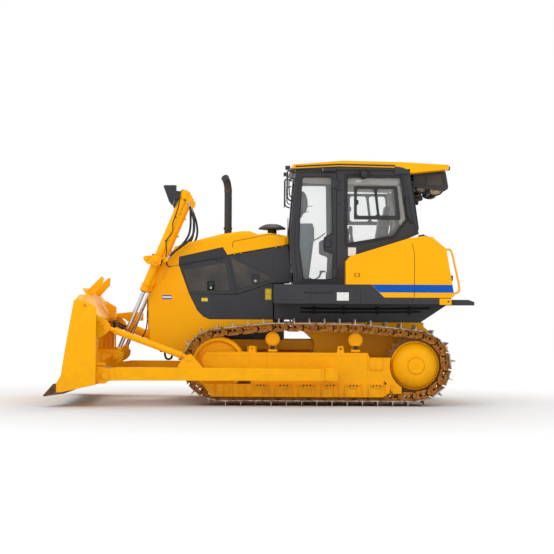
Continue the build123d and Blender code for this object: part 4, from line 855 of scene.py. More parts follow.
def makeNoseFront():
    # tow hook below the nose, steel line to the tilt circuit, bolted frame round the grille
    hook = [sidePipe(0, [(-1352, 700), (-1352, 622), (-1322, 570), (-1268, 576), (-1246, 620), (-1252, 660)], 15),
            brick((-1420, -40, 672), (-1290, 40, 715), 6)]
    hook.append(pipe([(-1548, -400, 1420), (-1566, -402, 1400), (-1571, -402, 1240), (-1573, -402, 1060),
                      (-1596, -402, 960), (-1640, -402, 884),
                      (-1646, -400, 836), (-1600, -398, 806), (-1536, -396, 802)], 9))
    hook += [brick((-1580, -420, z - 16), (-1536, -384, z + 16), 4) for z in (1392, 1110)]
    gather("noseHook", hook, mattBlack, slot="dark_paint")
    surround = [plate([oblong(-455, 826, 455, 1424, 30), oblong(-424, 856, 424, 1394, 20)], -1560, -1543, 4, "X")]
    surround += [plate([oblong(y, 790, y + 200, 812, 5)], -1552, -1528, 3, "X") for y in (-500, 300)]
    gather("grilleFrame", surround, yellow)
    places = [((-1560, y, z), (-1, 0, 0)) for y in (-440, -220, 0, 220, 440) for z in (841, 1409)]
    places += [((-1560, y, z), (-1, 0, 0)) for y in (-440, 440) for z in (980, 1125, 1270)]
    bolts("grilleBolts", places, 20, yellow)
    # cap strip over the nose and a handle on the front of the hood
    strip = [(-1556, 1424), (-1536, 1424), (-1286, 1876), (-1302, 1884)]
    top = [plate([strip], y, y + 12, 3) for y in (-540, 528)]
    top.append(pipe([(-1262, -180, 2030), (-1290, -180, 2046), (-1290, 180, 2046), (-1262, 180, 2030)], 9))
    gather("noseTop", top, yellow)


makeHoodTrim(hoodTrim)
makeNoseFront()
print("hood and panels dressed")

# stack and precleaner: brown heat band, clamp, cap with its ribs
stack = {"x": -484, "radius": 52, "base": 2310, "band": (2905, 2955), "cleaner": 132}


def makeStack(spec):
    x, r = spec["x"], spec["radius"]
    parts = [lathe([(0, r + 26), (6, r + 30), (12, r + 28), (14, r + 4), (14, r + 0.4), (0, r + 0.4)],
                   (x, 0, spec["base"] - 6), (0, 0, 1), 40)]
    parts.append(lathe([(0, r + 0.5), (0, r + 6), (3, r + 8), (27, r + 8), (30, r + 6), (30, r + 0.5)], (x, 0, 2380),
                       (0, 0, 1), 40))
    gather("stackCollar", parts, mattBlack)
    elbow = [(x + 2, 0, 2250), (x + 2, 0, 2600), (x + 2, 0, 2900), (x - 4, -6, 2990), (x - 22, -34, 3062),
             (x - 40, -78, 3092)]
    mouth = (Vector(elbow[-1]) - Vector(elbow[-2])).normalized()
    tube = pipe(elbow, r, True, 16)
    lip = lathe([(0, r - 6), (-2, r), (0, r + 2.5), (7, r + 2.5), (9, r), (9, r - 6)], elbow[-1], mouth, 40)
    piece = gather("stackTube", [tube, lip], mattBlack)
    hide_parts("exhaust_stack")
    # a near-black disc just inside the mouth: painted shade inside the pipe
    gather("stackMouth", [lathe([(0, r - 5), (1.5, r - 5), (1.5, 0)], Vector(elbow[-1]) + mouth * 0.5, mouth, 40)],
           rubber, slot="stack_steel")
    low, high = spec["band"]
    gather("stackBand", [lathe([(0, r + 0.4), (0.5, r + 2.2), (high - low, r + 2.2), (high - low, r + 0.4)],
                               (x, 0, low), (0, 0, 1), 40)], heatBrown)
    x = spec["cleaner"]
    bowl = lathe([(0, 150), (4, 186), (16, 189.4), (22, 188), (44, 146), (62, 112), (76, 60), (79, 20), (79, 0)],
                 (x, 0, 2384), (0, 0, 1), 56)
    neck = lathe([(0, 66), (4, 74), (18, 74), (22, 66), (22, 63), (112, 63), (116, 68), (124, 72), (128, 90),
                  (130, 120), (130, 0)],
                 (x, 0, 2258), (0, 0, 1), 40)
    ribs = []
    for k in range(16):
        a = 2 * math.pi * k / 16
        ribs.append(pipe([(x + math.cos(a) * q, math.sin(a) * q, 2384 + h)
                          for q, h in ((184, 21), (146, 42), (112, 60), (62, 73))], 4, False))
    gather("precleanerCap", [bowl, neck] + ribs, blackPlastic)


makeStack(stack)
print("stack and precleaner dressed")

# blade: worn edge bolts, weld beads, arm yokes, pin caps, hose guard of the tilt cylinder
bladeTrim = {"edgeBolts": 150, "pin": (-1974, 633),
             "yoke": [(-2165, 300), (-2052, 298), (-1996, 352), (-1996, 452), (-2050, 508), (-2165, 522)],
             "cylinder": 665, "lug": 78.6, "lugFace": 71, "brace": (-2050, 1030)}


def bracePins(side, x, z):
    # caps on both ends of a brace's pin, over the middle of the arm
    return [lathe([(0, 34), (9, 36), (13, 32), (13, 0)], (x, side * (1400 + out * 57), z), (0, side * out, 0), 28)
            for out in (-1, 1)]


def makeBladeTrim(spec):
    # share: how far down the face of the cutting edge its bolts sit
    places, normal, share = [], Vector((-0.761, 0, 0.649)), 0.3
    for k in range(-10, 11):
        y = k * spec["edgeBolts"]
        sweep = max(0, abs(y) - 1000) / 655
        places.append(((-2530 - 134 * share - 174 * sweep, y, 302 - 157 * share), tuple(normal)))
    bolts("edgeBolts", places, 22, trackSteel, "blade")
    parts, beads = [], []
    for side, word in sides:
        # yoke plates that hold the front end of the push arm
        for low, high in ((1475, 1494), (1308, 1325)):
            parts.append(slab(side, [rounded(spec["yoke"], 16)], low, high, 3))
        parts.append(lathe([(0, 50), (5, 54), (13, 52), (13, 40), (19, 37), (19, 0)], (-2062, side * 1493, 402),
                           (0, side, 0), 36))
        parts.append(slab(side, [rounded([(-2170, 536), (-2056, 536), (-2056, 560), (-2170, 575)], 5)], 1338, 1462,
                          4))
        # keeper plates and caps on the lift pins
        x, z = spec["pin"]
        parts += [lathe([(0, 38), (3, 42), (9, 40), (9, 16), (14, 14), (14, 0)],
                        (x, side * (spec["cylinder"] + out * spec["lug"]), z), (0, side * out, 0), 32)
                  for out in (1, -1)]
        parts += bracePins(side, *spec["brace"])
        # beads along the end plate, the box and the lift lugs
        beads.append(sidePipe(side * 1629, [(-2166, 1288), (-2168, 560)], 5, False))
        lug = side * (spec["cylinder"] + spec["lugFace"])
        beads.append(sidePipe(lug, [(-2160, 722), (-2160, 512)], 5, False))
        beads.append(pipe([(-2118, side * 300, 1112), (-2118, side * 1600, 1112)], 4, False))
        # upright stiffeners on the back
        for y in (330, 980, 1180):
            parts.append(slab(side, [[(-2290, 600), (-2200, 640), (-2180, 860), (-2186, 1050), (-2285, 1050),
                                      (-2275, 860)]], y - 9, y + 9, 3))
    # cover over the ports of the tilt cylinder on the right side
    guard = [(-2150, 1197), (-1909, 1222), (-1743, 1210), (-1743, 1095), (-1972, 1083), (-2011, 1121), (-2120, 1140)]
    parts.append(plate([rounded(guard, 10)], 1330, 1345, 3))
    parts.append(plate([rounded(guard, 10)], 1455, 1470, 3))
    parts.append(plate([[(-2146, 1195), (-1909, 1220), (-1747, 1208), (-1747, 1194), (-1909, 1206), (-2146, 1181)]],
                       1340, 1460, 3))
    hook = rounded([(-2196, 1374), (-2150, 1368), (-2050, 1302), (-2036, 1195), (-2060, 1150), (-2120, 1150),
                    (-2150, 1260), (-2200, 1330)], 14)
    parts.append(plate([hook, circle((-2172, 1340), 13, 20)], -11, 11, 4))
    # spill guard on top of the middle, sloping forward
    parts.append(plate([[(-2352, 1459), (-2336, 1459), (-2388, 1543), (-2402, 1548)]], -1000, 1000, 3))
    parts.append(plate([rounded([(-1900, 900), (-1860, 900), (-1830, 1150), (-1900, 1150)], 8)], 1345, 1357, 3))
    gather("bladeFittings", parts, yellow, "blade")
    gather("bladeBeads", beads, yellow, "blade")
    places = []
    for side, word in sides:
        places += [((x, side * 1494, z), (0, side, 0))
                   for x, z in ((-2142, 330), (-2142, 492), (-2020, 360), (-2020, 446))]
        lug = side * (spec["cylinder"] + spec["lugFace"])
        places += [((x, lug, z), (0, side, 0)) for x, z in ((-1944, 680), (-2004, 590))]
    bolts("bladeBolts", places, 22, yellow, "blade")
    # black hoses of the tilt cylinder, clipped to the back of the box on the right
    hosesBack = [pipe([(-2128, 820, 1040), (-2110, 900, 1062), (-2104, 1100, 1068), (-2090, 1260, 1060),
                       (-2010, 1330, 1010), (-1960, 1362, 985)], 13),
                 pipe([(-2128, 820, 1005), (-2112, 900, 1024), (-2106, 1100, 1030), (-2094, 1250, 1020),
                       (-1996, 1310, 960), (-1940, 1352, 950)], 13)]
    hosesBack += [brick((-2140, y - 26, 985), (-2104, y + 26, 1085), 4) for y in (850, 1080)]
    gather("tiltPipes", hosesBack, hoseRubber, "blade")


def shapeBlade():
    # the fixed blade's own surface with two edges brought to the end plates' outline
    mesh = nodes["blade"].data.copy()
    mesh.name = "bladeSurface"
    form = bmesh.new()
    form.from_mesh(mesh)
    bmesh.ops.remove_doubles(form, verts=form.verts, dist=0.00002)
    for vert in form.verts:
        x, y, z = vert.co / mm
        edge = 180 + (x + 2658) * 110 / 497
        if z < edge and x > -2640:
            vert.co.z = edge * mm
        if abs(abs(y) - 1630) < 3 and z > 1376:
            vert.co.z = 1.3755
    form.to_mesh(mesh)
    form.free()
    mesh.materials.clear()
    piece = gather("bladeSurface", [mesh], yellow, "blade", crease=28)
    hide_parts("blade")


shapeBlade()
makeBladeTrim(bladeTrim)
print("blade dressed")

# push arms and braces: beads, nuts and the worn collar
armTrim = {"outer": 1475, "inner": 1325, "beads": (-1925, 756), "brace": ((-2050, 1030), (-956, 628))}


def makeArmTrim(spec):
    parts, hard = [], []
    for side, word in sides:
        for x in spec["beads"]:
            loop = [(x, side * (spec["inner"] - 1), 342), (x, side * (spec["outer"] + 1), 342),
                    (x, side * (spec["outer"] + 1), 508),
                    (x, side * (spec["inner"] - 1), 508), (x, side * (spec["inner"] - 1), 342)]
            parts.append(pipe(loop, 5, False))
        parts.append(slab(side, [rounded([(-1120, 506), (-780, 506), (-800, 524), (-1100, 524)], 4)], 1352, 1448, 3))
        parts.append(slab(side, [oblong(-1905, 372, -1840, 478, 8)], 1475, 1478.5, 1.5))
        (x1, z1), (x2, z2) = spec["brace"]
        parts += bracePins(side, x2, z2)
        run = Vector((x2 - x1, 0, z2 - z1)).normalized()
        if side < 0:
            for reach in (118, (Vector((x2 - x1, z2 - z1)).length - 152)):
                at = Vector((x1, side * 1400, z1)) + run * reach
                hard.append(lathe([(0, 34), (0, 50), (4, 54), (30, 54), (34, 50), (34, 34)], at, run, 6))
        else:
            for reach, r in ((126, 66), (Vector((x2 - x1, z2 - z1)).length - 444, 66)):
                at = Vector((x1, side * 1400, z1)) + run * reach
                parts.append(lathe([(0, 40), (0, r), (3, r + 4), (25, r + 4), (28, r), (28, 40)], at, run, 40))
    gather("armFittings", parts, yellow, "blade")
    gather("braceNuts", hard, yellow, "blade", crease=20)


makeArmTrim(armTrim)
print("arms dressed")

# lift cylinders: head collar, trunnion block, clamps, gland ring, lamp lens and its cable
cylinder = {"trunnion": (-1435, 1922), "pin": (-1974, 633), "y": 665, "radius": 55, "top": 1020, "bottom": -440,
            "clamps": (170, 430, 700),
            "cable": [(-1104, 2875), (-1131, 2785), (-1136, 2673), (-1188, 2516), (-1227, 2417), (-1209, 2326),
                      (-1300, 2203),
                      (-1311, 2170), (-1294, 2036), (-1321, 1969)]}


def makeCylinders(spec):
    base = Vector((spec["trunnion"][0], 0, spec["trunnion"][1]))
    run = (base - Vector((spec["pin"][0], 0, spec["pin"][1]))).normalized()
    cross = Vector((run.z, 0, -run.x))
    for side, word in sides:
        middle = Vector((0, side * spec["y"], 0))
        at = lambda reach, off=0: base + run * reach + cross * off + middle
        r, body = spec["radius"], "lift_barrel_" + word
        parts = [lathe([(0, r + 0.4), (0, r + 8), (4, r + 12), (104, r + 12), (109, r + 8), (111, r + 2), (116, 48),
                        (118, 46), (118, 0)],
                       at(spec["top"] - 110), run, 44)]
        parts.append(lathe([(0, 20), (10, 20), (13, 16), (13, 0)], at(spec["top"] + 6), run, 6))
        for reach in spec["clamps"]:
            parts.append(lathe([(0, r + 0.4), (0, r + 3.5), (26, r + 3.5), (26, r + 0.4)], at(reach), run, 44))
            lug = plate([rounded([(-13, -14), (13, -14), (13, 14), (-13, 14)], 4)], -9, 9, 2)
            turn = Matrix((cross, Vector((0, 1, 0)), run)).transposed().to_4x4()
            parts.append(shell(lug, Matrix.Translation(at(reach + 13, r + 10) * mm) @ turn))
        # square block round the trunnion band
        square = lambda low, high: [(c.x, c.z)
                                    for c in (base + run * a + cross * b
                                              for a, b in ((-72, low), (72, low), (72, high), (-72, high)))]
        parts += [slab(side, [rounded(square(low, high), 8)], spec["y"] - 63, spec["y"] + 63, 6)
                  for low, high in ((-88, -56), (56, 88))]
        parts += [slab(side, [rounded(square(-88, 88), 18)], spec["y"] + low, spec["y"] + low + 7, 2)
                  for low in (-63, 56)]
        parts.append(lathe([(0, r + 0.4), (0, r + 10), (3, r + 12), (17, r + 12), (20, r + 10), (20, r + 0.4)],
                           at(spec["bottom"] + 78), run, 44))
        gather("cylinderFittings." + word, parts, yellow, body)
        places = []
        for k in range(8):
            a = 2 * math.pi * k / 8 + 0.2
            spot = cross * math.cos(a) + Vector((0, math.sin(a), 0))
            places.append((at(spec["bottom"] - 1) + spot * 46, tuple(-run)))
            places.append((at(spec["top"] + 2) + spot * 50, tuple(run)))
        places += [(at(a, c) + Vector((0, side * 63, 0)), (0, side, 0)) for a in (-50, 50) for c in (-66, 66)]
        bolts("cylinderBolts." + word, places, 15, yellow, body)
        dark = [lathe([(0, 28.6), (0, 36), (4, 38), (14, 38), (16, 34), (16, 28.6)], at(spec["bottom"] - 16), run,
                      40)]
        cable = []
        for x, z in spec["cable"]:
            off = (Vector((x, 0, z)) - base).dot(cross)
            cable.append((x, side * (spec["y"] + math.sqrt(max(62 ** 2 - off ** 2, 18 ** 2))), z))
        dark.append(pipe(cable, 6.5))
        dark.append(pipe([(-1162, side * 640, 2790), (-1140, side * 655, 2800), (-1110, side * 690, 2850),
                          (-1104, side * 700, 2875)], 6.5))
        for reach, off in ((902, 30), (640, 4), (300, 14)):
            spot = at(reach, off) + Vector((0, side * 55, 0))
            dark.append(brick(spot - Vector((16, 8, 7)), spot + Vector((16, 12, 7)), 3))
        gather("cylinderCable." + word, dark, rubber, body, "hose_rubber")
        # fittings of the hoses, swaged on and gripping them with a little play
        swage = []
        for x, z, way in ((-1010, 2706, (0.347, 0, -0.938)), (-1290, 1950, (0.64, 0, 0.768))):
            for off in (-22, 22):
                start = Vector((x, side * (spec["y"] + off), z))
                swage.append(lathe([(0, 15.4), (0, 20), (10, 20), (12, 17.5), (48, 17.5), (52, 16), (52, 15.4)],
                                   start, way, 24))
        gather("hoseEnds." + word, swage, zinc, body)
        # lamp: lens in a thin rim, ribs at the back of the housing
        down, out = Vector((0.35, 0, -0.937)), Vector((-0.937, 0, -0.35))
        turn = Matrix((down, Vector((0, -1, 0)), out)).transposed().to_4x4()
        place = Matrix.Translation(Vector((-1300, side * spec["y"], 2824)) * mm) @ turn
        lens = shell(plate([oblong(-104, -60, 104, 60, 14)], -4, 3, 2, "Z"), place)
        rim = shell(plate([oblong(-118, -73, 118, 73, 12), oblong(-104, -60, 104, 60, 12)], -6, 8, 3, "Z"), place)
        gather("lampLens." + word, [lens], lampLens, body)
        cheek = rounded([(-1240, 2730), (-1150, 2750), (-1110, 2800), (-1160, 2850), (-1230, 2800)], 12)
        yoke = [slab(side, [cheek], spec["y"] + low, spec["y"] + low + 8, 2) for low in (-84, 76)]
        yoke += [sideBrick(side, (-1325 + k * 28, -1317 + k * 28), (597, 733), (2941, 2948), 2) for k in range(5)]
        gather("lampRim." + word, [rim] + yoke, charcoal, body)
        # rod: eye rings and grease nipple
        x, z = spec["pin"]
        rings = [lathe([(0, 40), (0, 56), (4, 58), (8, 56), (8, 40)], (x, side * (spec["y"] + o * 37), z),
                       (0, side * o, 0), 40) for o in (-1, 1)]
        foot = base + run * -1330 + middle
        rings.append(lathe([(0, 28.4), (0, 40), (8, 44), (42, 44), (50, 38), (62, 28.4)], foot, run, 40))
        gather("rodEye." + word, rings, yellow, "lift_rod_" + word)


makeCylinders(cylinder)
print("lift cylinders dressed")

# cab: seals, sliding panes, lamps, roof strips, headliner, pillar fan, grab bar
cab = {"opening": [(474, 1650), (452, 1800), (418, 2150), (442, 2508), (486, 3125), (985, 3125), (985, 1650)],
       "doorGlass": [(526, 3055), (917, 3055), (930, 2301), (822, 2248), (822, 2073), (943, 2026), (930, 1683),
                     (545, 1683), (486, 2140), (500, 2584)],
       "window": [(1132, 3056), (1846, 3056), (1873, 2881), (1926, 2504), (1751, 2275), (1132, 2167)],
       "hinges": (1760, 2960),
       "slider": {"frame": [(1225, 2493), (1854, 2493), (1806, 2945), (1225, 2945)],
                  "panes": ([(1263, 2544), (1538, 2544), (1493, 2905), (1263, 2905)],
                            [(1571, 2544), (1795, 2544), (1768, 2905), (1531, 2905)])}}


def inset(points, distance):
    # the loop moved inwards by a distance, negative outwards
    area = sum(a[0] * b[1] - b[0] * a[1] for a, b in zip(points, points[1:] + points[:1]))
    sign, count, result = (1 if area > 0 else -1), len(points), []
    for i in range(count):
        a, b, c = Vector(points[i - 1]), Vector(points[i]), Vector(points[(i + 1) % count])
        first, second = (b - a).normalized(), (c - b).normalized()
        n1, n2 = Vector((-first.y, first.x)) * sign, Vector((-second.y, second.x)) * sign
        half = (n1 + n2).normalized()
        result.append(tuple(b + half * (distance / max(0.3, half.dot(n1)))))
    return result


def makeCab(spec):
    for side, word in sides:
        doorBody = "cab_door_" + word
        # rubber round the side window and its sliding panes
        window = spec["window"]
        dark = [slab(side, [rounded(inset(window, -38), 40), rounded(inset(window, 5), 14)], 764, 785, 4)]
        dark.append(slab(side, [rounded(inset(spec["opening"], -3), 12), rounded(inset(spec["opening"], 4), 12)], 774,
                         783, 2))
        gather("windowRubber." + word, dark, rubber)
        holes = [rounded(pane, 34) for pane in spec["slider"]["panes"]]
        slider = [slab(side, [rounded(spec["slider"]["frame"], 12)] + holes, 742, 775, 4)]
        slider.append(slab(side, [oblong(1262, 2690, 1284, 2756, 7)], 775, 792, 4))
        gather("slidingFrame." + word, slider, blackPlastic)
        # door: rubber round the glass, recessed handle with its lock, hinge knuckles
        glassLoop = spec["doorGlass"]
        seal = [slab(side, [rounded(inset(glassLoop, -15), 18), rounded(inset(glassLoop, 3), 22)], 768, 787, 3)]
        gather("doorRubber." + word, seal, rubber, doorBody)
        lock = [slab(side, [rounded([(846, 2084), (946, 2052), (950, 2282), (846, 2240)], 14),
                            oblong(864, 2112, 930, 2196, 12)], 780, 787, 3),
                slab(side, [oblong(860, 2108, 934, 2200, 12)], 776, 782, 2)]
        gather("doorRecess." + word, lock, charcoal, doorBody)
        paddle = [slab(side, [rounded([(870, 2118), (924, 2118), (924, 2190), (896, 2190), (870, 2160)], 8)], 781,
                       790, 3)]
        paddle.append(lathe([(0, 11), (5, 11), (7, 8), (7, 0)], (909, side * 787, 2225), (0, side, 0), 24))
        gather("doorPaddle." + word, paddle, blackPlastic, doorBody)
        knuckles = []
        for z in spec["hinges"]:
            knuckles.append(lathe([(0, 10), (0, 13.5), (3, 15), (97, 15), (100, 13.5), (100, 10)],
                                  (991, side * 796, z - 50), (0, 0, 1), 28))
            knuckles.append(slab(side, [oblong(925, z - 46, 985, z + 46, 8)], 783, 791, 2.5))
        gather("doorHinges." + word, knuckles, charcoal, doorBody)
        places = [((x, side * 791, z + dz), (0, side, 0)) for z in spec["hinges"] for x in (942, 966)
                  for dz in (-30, 30)]
        bolts("hingeBolts." + word, places, 9, mattBlack, doorBody)
        strap = [slab(side, [oblong(990, 1650, 996, 3125, 2)], 778, 783, 1)]
        strap += [slab(side, [oblong(1006, 2700, 1040, 2712, 3)], 779, 790, 2)]
        gather("doorGap." + word, strap, rubber)
        # lamps under the roof edge and the cable clip between them
        lampParts = [sideBrick(side, (800, 975), (790, 868), (3131, 3178), 10)]
        lampParts.append(lathe([(0, 30), (6, 52), (40, 60), (74, 62), (80, 58), (80, 50)], (1392, side * 838, 3098),
                               (-1, 0, -0.12), 32))
        lampParts.append(slab(side, [rounded([(1330, 3110), (1400, 3120), (1400, 3176), (1340, 3176)], 8)], 780, 800,
                              3))
        lampParts.append(pipe([(1100, side * 784, 3098), (1200, side * 786, 3102), (1300, side * 796, 3104)], 9))
        lampParts.append(pipe([(1400, side * 786, 3150), (1440, side * 784, 3110), (1470, side * 782, 3080)], 8))
        lampParts.append(lathe([(0, 12), (8, 12), (11, 8), (11, 0)], (1560, side * 779, 3092), (0, side, 0), 20))
        gather("sideLamps." + word, lampParts, blackPlastic)
        lens = [lathe([(0, 50), (3, 51), (7, 40), (8, 0)], (1324, side * 838, 3089.8), (-1, 0, -0.12), 32),
                plate([oblong(min(side * 797, side * 861), 3136, max(side * 797, side * 861), 3173, 8)], 796, 801, 2,
                      "X")]
        gather("sideLampLens." + word, lens, lampLens)
        # strips under the edge of the roof
        line = [(431, 3206), (1017, 3238), (1772, 3225)]
        band = lambda top, low, out: slab(side,
                                          [[(x, z - top) for x, z in line] + [(x, z - low)
                                                                              for x, z in reversed(line)]], 818, out,
                                          1.5)
        gather("roofGutter." + word, [band(-2, 17, 828), band(34, 48, 825)], rubber)
        lower = [slab(side, [[(431, 3160), (431, 3172), (1017, 3203), (1772, 3190), (1784, 3160)]], 818, 822, 1),
                 slab(side, [[(1768, 3160), (1768, 3206), (1830, 3201), (1880, 3192), (1935, 3165), (1974, 3122),
                              (1974, 3112), (1768, 3112)]], 818, 823, 1),
                 slab(side, [[(392, 3162), (431, 3164), (1784, 3164), (1784, 3174), (375, 3174)]], 800, 821, 3)]
        gather("roofSkirt." + word, lower, charcoal)
        # rear pillar: bowed grab bar and the trim inside it
        bar = pipe([(1926, side * 782, 2792), (1924, side * 816, 2770), (1930, side * 822, 2700),
                    (1950, side * 822, 2560), (1988, side * 816, 2475), (2004, side * 782, 2450)], 15)
        gather("pillarBar." + word, [bar, sidePipe(side * 781, [(1900, 3120), (1950, 2860), (2060, 2330)], 5)],
               blackPlastic)
        trim = [slab(side, [rounded([(1792, 2960), (1846, 2960), (1925, 2500), (1880, 2390), (1842, 2440),
                                     (1826, 2640), (1800, 2780)], 20)], 690, 728, 8)]
        gather("pillarTrim." + word, trim, liner)
        # fan housing on the front pillar, seen through the door glass
        fan = [lathe([(-42, 20), (-38, 62), (-18, 84), (8, 88), (22, 80), (30, 66), (30, 58), (18, 54), (14, 0)],
                     (0, 0, 0), (0, 1, 0), 40)]
        lean = Matrix.Rotation(math.radians(side * 4), 4, "Y")
        fan[0].transform(Matrix.Translation((0.5335, side * 0.690, 2.722)) @ lean @ Matrix.Diagonal((0.78, side, 1.72,
                                                                                                     1)))
        if side < 0:
            fan[0].flip_normals()
        fan.append(sidePipe(side * 700, [(600, 2668), (640, 2672), (668, 2676)], 5))
        gather("pillarFan." + word, fan, blackPlastic, slot="console_plastic")
    # dark lining under the roof's front edge
    gather("roofLining", [brick((367, -812, 3170), (432, 812, 3173.5), 1)], charcoal)
    # headliner with its two lamps
    ceiling = plate([rounded([(560, 3118), (540, 3090), (980, 3070), (1070, 2984), (1200, 2966), (1800, 2952),
                              (1872, 2990), (1880, 3118)], 26)], -700, 700, 16)
    gather("headliner", [ceiling], liner)
    lampShapes = [slab(side, [oblong(1248, 3002, 1330, 3030, 12)], 698, 708, 4) for side, word in sides]
    gather("domeLamps", lampShapes, white)
    # rubber of the rear window, and the wipers
    rear = [plate([oblong(-640, 2362, 640, 3078, 50), oblong(-604, 2398, 604, 3042, 40)], 0, 18, 4, "X")]
    rear[0].transform(Matrix.Translation((2.062, 0, 2.72)) @ Matrix.Rotation(math.atan2(-98, 679), 4,
                                                                             "Y") @ Matrix.Translation((-0.012, 0,
                                                                                                        -2.72)))
    gather("screenRubber", rear, rubber)
    wipers = [pipe([(372, 40, 1900), (366, 60, 1960), (352, 260, 2300), (360, 330, 2440)], 7),
              pipe([(358, 180, 2250), (360, 340, 2560)], 6),
              lathe([(0, 24), (20, 24), (26, 18), (26, 0)], (392, 40, 1892), (-1, 0, 0), 24)]
    wipers += [pipe([(2110, -20, 2336), (2104, 40, 2420), (2084, 220, 2580)], 7),
               lathe([(0, 22), (18, 22), (24, 16), (24, 0)], (2092, -20, 2330), (1, 0, 0.1), 24)]
    gather("wipers", wipers, mattBlack, slot="dark_paint")


makeCab(cab)
print("cab dressed")

# inside: dash, levers, pedals, seat base and arm rests
inside = {"floor": 1666}


def makeInside(spec):
    z0 = spec["floor"]
    dash = [plate([rounded([(500, 1720), (466, 2120), (492, 2462), (690, 2462), (716, 2216), (640, 2148),
                            (640, 1720)], 18)], -264, 264, 14)]
    dash += [plate([oblong(-170, 2290, 170, 2420, 18)], 690, 712, 5, "X"),
             sidePipe(-250, [(640, 2210), (760, 2235), (860, 2330)], 9)]
    gather("dashColumn", dash, paleConsole)
    dark = []
    for side, word in sides:
        y = side * 360
        dark.append(slab(side, [rounded([(1180, 2050), (1190, 2150), (1230, 2196), (1660, 2190), (1680, 2130),
                                         (1560, 2060), (1300, 2020)], 26)], 300, 420, 14))
        dark.append(lathe([(0, 46), (10, 44), (24, 26), (40, 20), (120, 15), (150, 22), (200, 27), (236, 24),
                           (246, 10), (246, 0)], (1222, y, 2180), (-0.08, 0, 1), 24))
        dark.append(pipe([(1182, y, 2120), (1060, y, 2110), (1010, y * 0.98, 2080)], 12))
    for y in (-150, 0, 150):
        dark.append(sidePipe(y, [(720, z0 + 20), (790, z0 + 60), (830, z0 + 150)], 9, False))
        dark.append(brick((800, y - 42, z0 + 128), (872, y + 42, z0 + 146), 5))
    dark.append(brick((700, -560, z0 - 2), (1860, 560, z0 + 12), 5))
    gather("leversAndPedals", dark, blackPlastic, slot="console_plastic")
    base = [plate([rounded([(1260, z0), (1240, 1890), (1620, 1890), (1600, z0)], 20)], -170, 170, 10)]
    base += [sidePipe(y, [(1700, 1960), (1760, 2300), (1780, 2520)], 12) for y in (-240, 240)]
    gather("seatBase", base, blackPlastic, slot="console_plastic")


seat = {"cushion": ((1195, -228, 1905), (1610, 228, 1998)), "back": ((-66, -225, -295), (36, 225, 295)),
        "head": ((-46, -140, -62), (34, 140, 62)),
        "cap": 0.026, "voxel": 0.006, "frames": 20}


def padForm(name, low, high, place, grooves):
    # one pad: a rounded block blown up as cloth, capped, then cut with its sewn channels
    form = bmesh.new()
    bmesh.ops.create_cube(form, size=1)
    for vert in form.verts:
        vert.co = Vector([(low[i] + (high[i] - low[i]) * (vert.co[i] + 0.5)) * mm for i in range(3)])
    bmesh.ops.bevel(form, geom=form.edges[:], offset=0.028, segments=3, profile=0.5, affect="EDGES")
    pad = linked(name, written(name, form))
    remesh = pad.modifiers.new("voxels", "REMESH")
    remesh.mode, remesh.voxel_size = "VOXEL", seat["voxel"] * 1
    solid = baked(pad)
    pad.modifiers.clear()
    pad.data = solid
    rest = [vert.co.copy() for vert in solid.vertices]
    cloth = pad.modifiers.new("swell", "CLOTH")
    cloth.settings.use_pressure = True
    cloth.settings.uniform_pressure_force = 4
    cloth.settings.effector_weights.gravity = 0
    for number in range(1, seat["frames"] + 1):
        bpy.context.scene.frame_set(number)
    swollen = baked(pad)
    bpy.context.scene.frame_set(1)
    pad.modifiers.clear()
    for vert, puffed, start in zip(solid.vertices, swollen.vertices, rest):
        move = puffed.co - start
        if move.length > seat["cap"]:
            move = move.normalized() * seat["cap"]
        vert.co = start + move
    bpy.data.meshes.remove(swollen)
    middle = Vector([(low[i] + high[i]) / 2 * mm for i in range(3)])
    for vert in solid.vertices:
        # channels across the pad, as narrow valleys in the faces
        for axis, at, wide, deep in grooves:
            gap = abs(vert.co[axis] - at * mm) / (wide * mm)
            if gap < 1:
                vert.co = vert.co + (middle - vert.co).normalized() * (deep * mm * (1 - gap * gap) ** 2)
    solid.transform(place)
    return pad


def makeSeat(spec):
    lean = Matrix.Translation((1.672, 0, 2.31)) @ Matrix.Rotation(math.radians(9), 4, "Y")
    top = Matrix.Translation((1.735, 0, 2.655)) @ Matrix.Rotation(math.radians(7), 4, "Y")
    pads = [padForm("seatCushion", *spec["cushion"], Matrix.Identity(4),
                    ((1, -130, 16, 10), (1, 130, 16, 10), (0, 1400, 14, 8))),
            padForm("seatBack", *spec["back"], lean,
                    ((1, -130, 16, 10), (1, 130, 16, 10), (2, -90, 14, 8), (2, 90, 14, 8))),
            padForm("headRest", *spec["head"], top, ((1, 0, 12, 5),))]
    for pad in pads:
        smooth = pad.modifiers.new("smooth", "SUBSURF")
        smooth.levels = smooth.render_levels = 1
        fine = baked(pad)
        pad.modifiers.clear()
        pad.data = fine
        fine.materials.clear()
        fine.materials.append(seatVinyl)
        for polygon in fine.polygons:
            polygon.use_smooth = True
        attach(pad, "chassis")
        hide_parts("operator_seat")


makeInside(inside)
makeSeat(seat)
print("seat and controls made")

# slim mirror frames and the bent rails on the tank, in place of the straight CAD tubes
bent = {"mirrorY": 756, "loop": [(432, 3116), (380, 3144), (330, 3146), (324, 3120), (322, 2800), (332, 2762),
                                 (372, 2738), (396, 2736)],
        "inner": [(420, 3040), (352, 3034), (346, 3000), (350, 2840), (366, 2790), (398, 2782)],
        "rail": [(2443, 2087), (2496, 2094), (2528, 2070), (2546, 2000), (2638, 1585), (2634, 1534), (2600, 1502),
                 (2549, 1494)]}


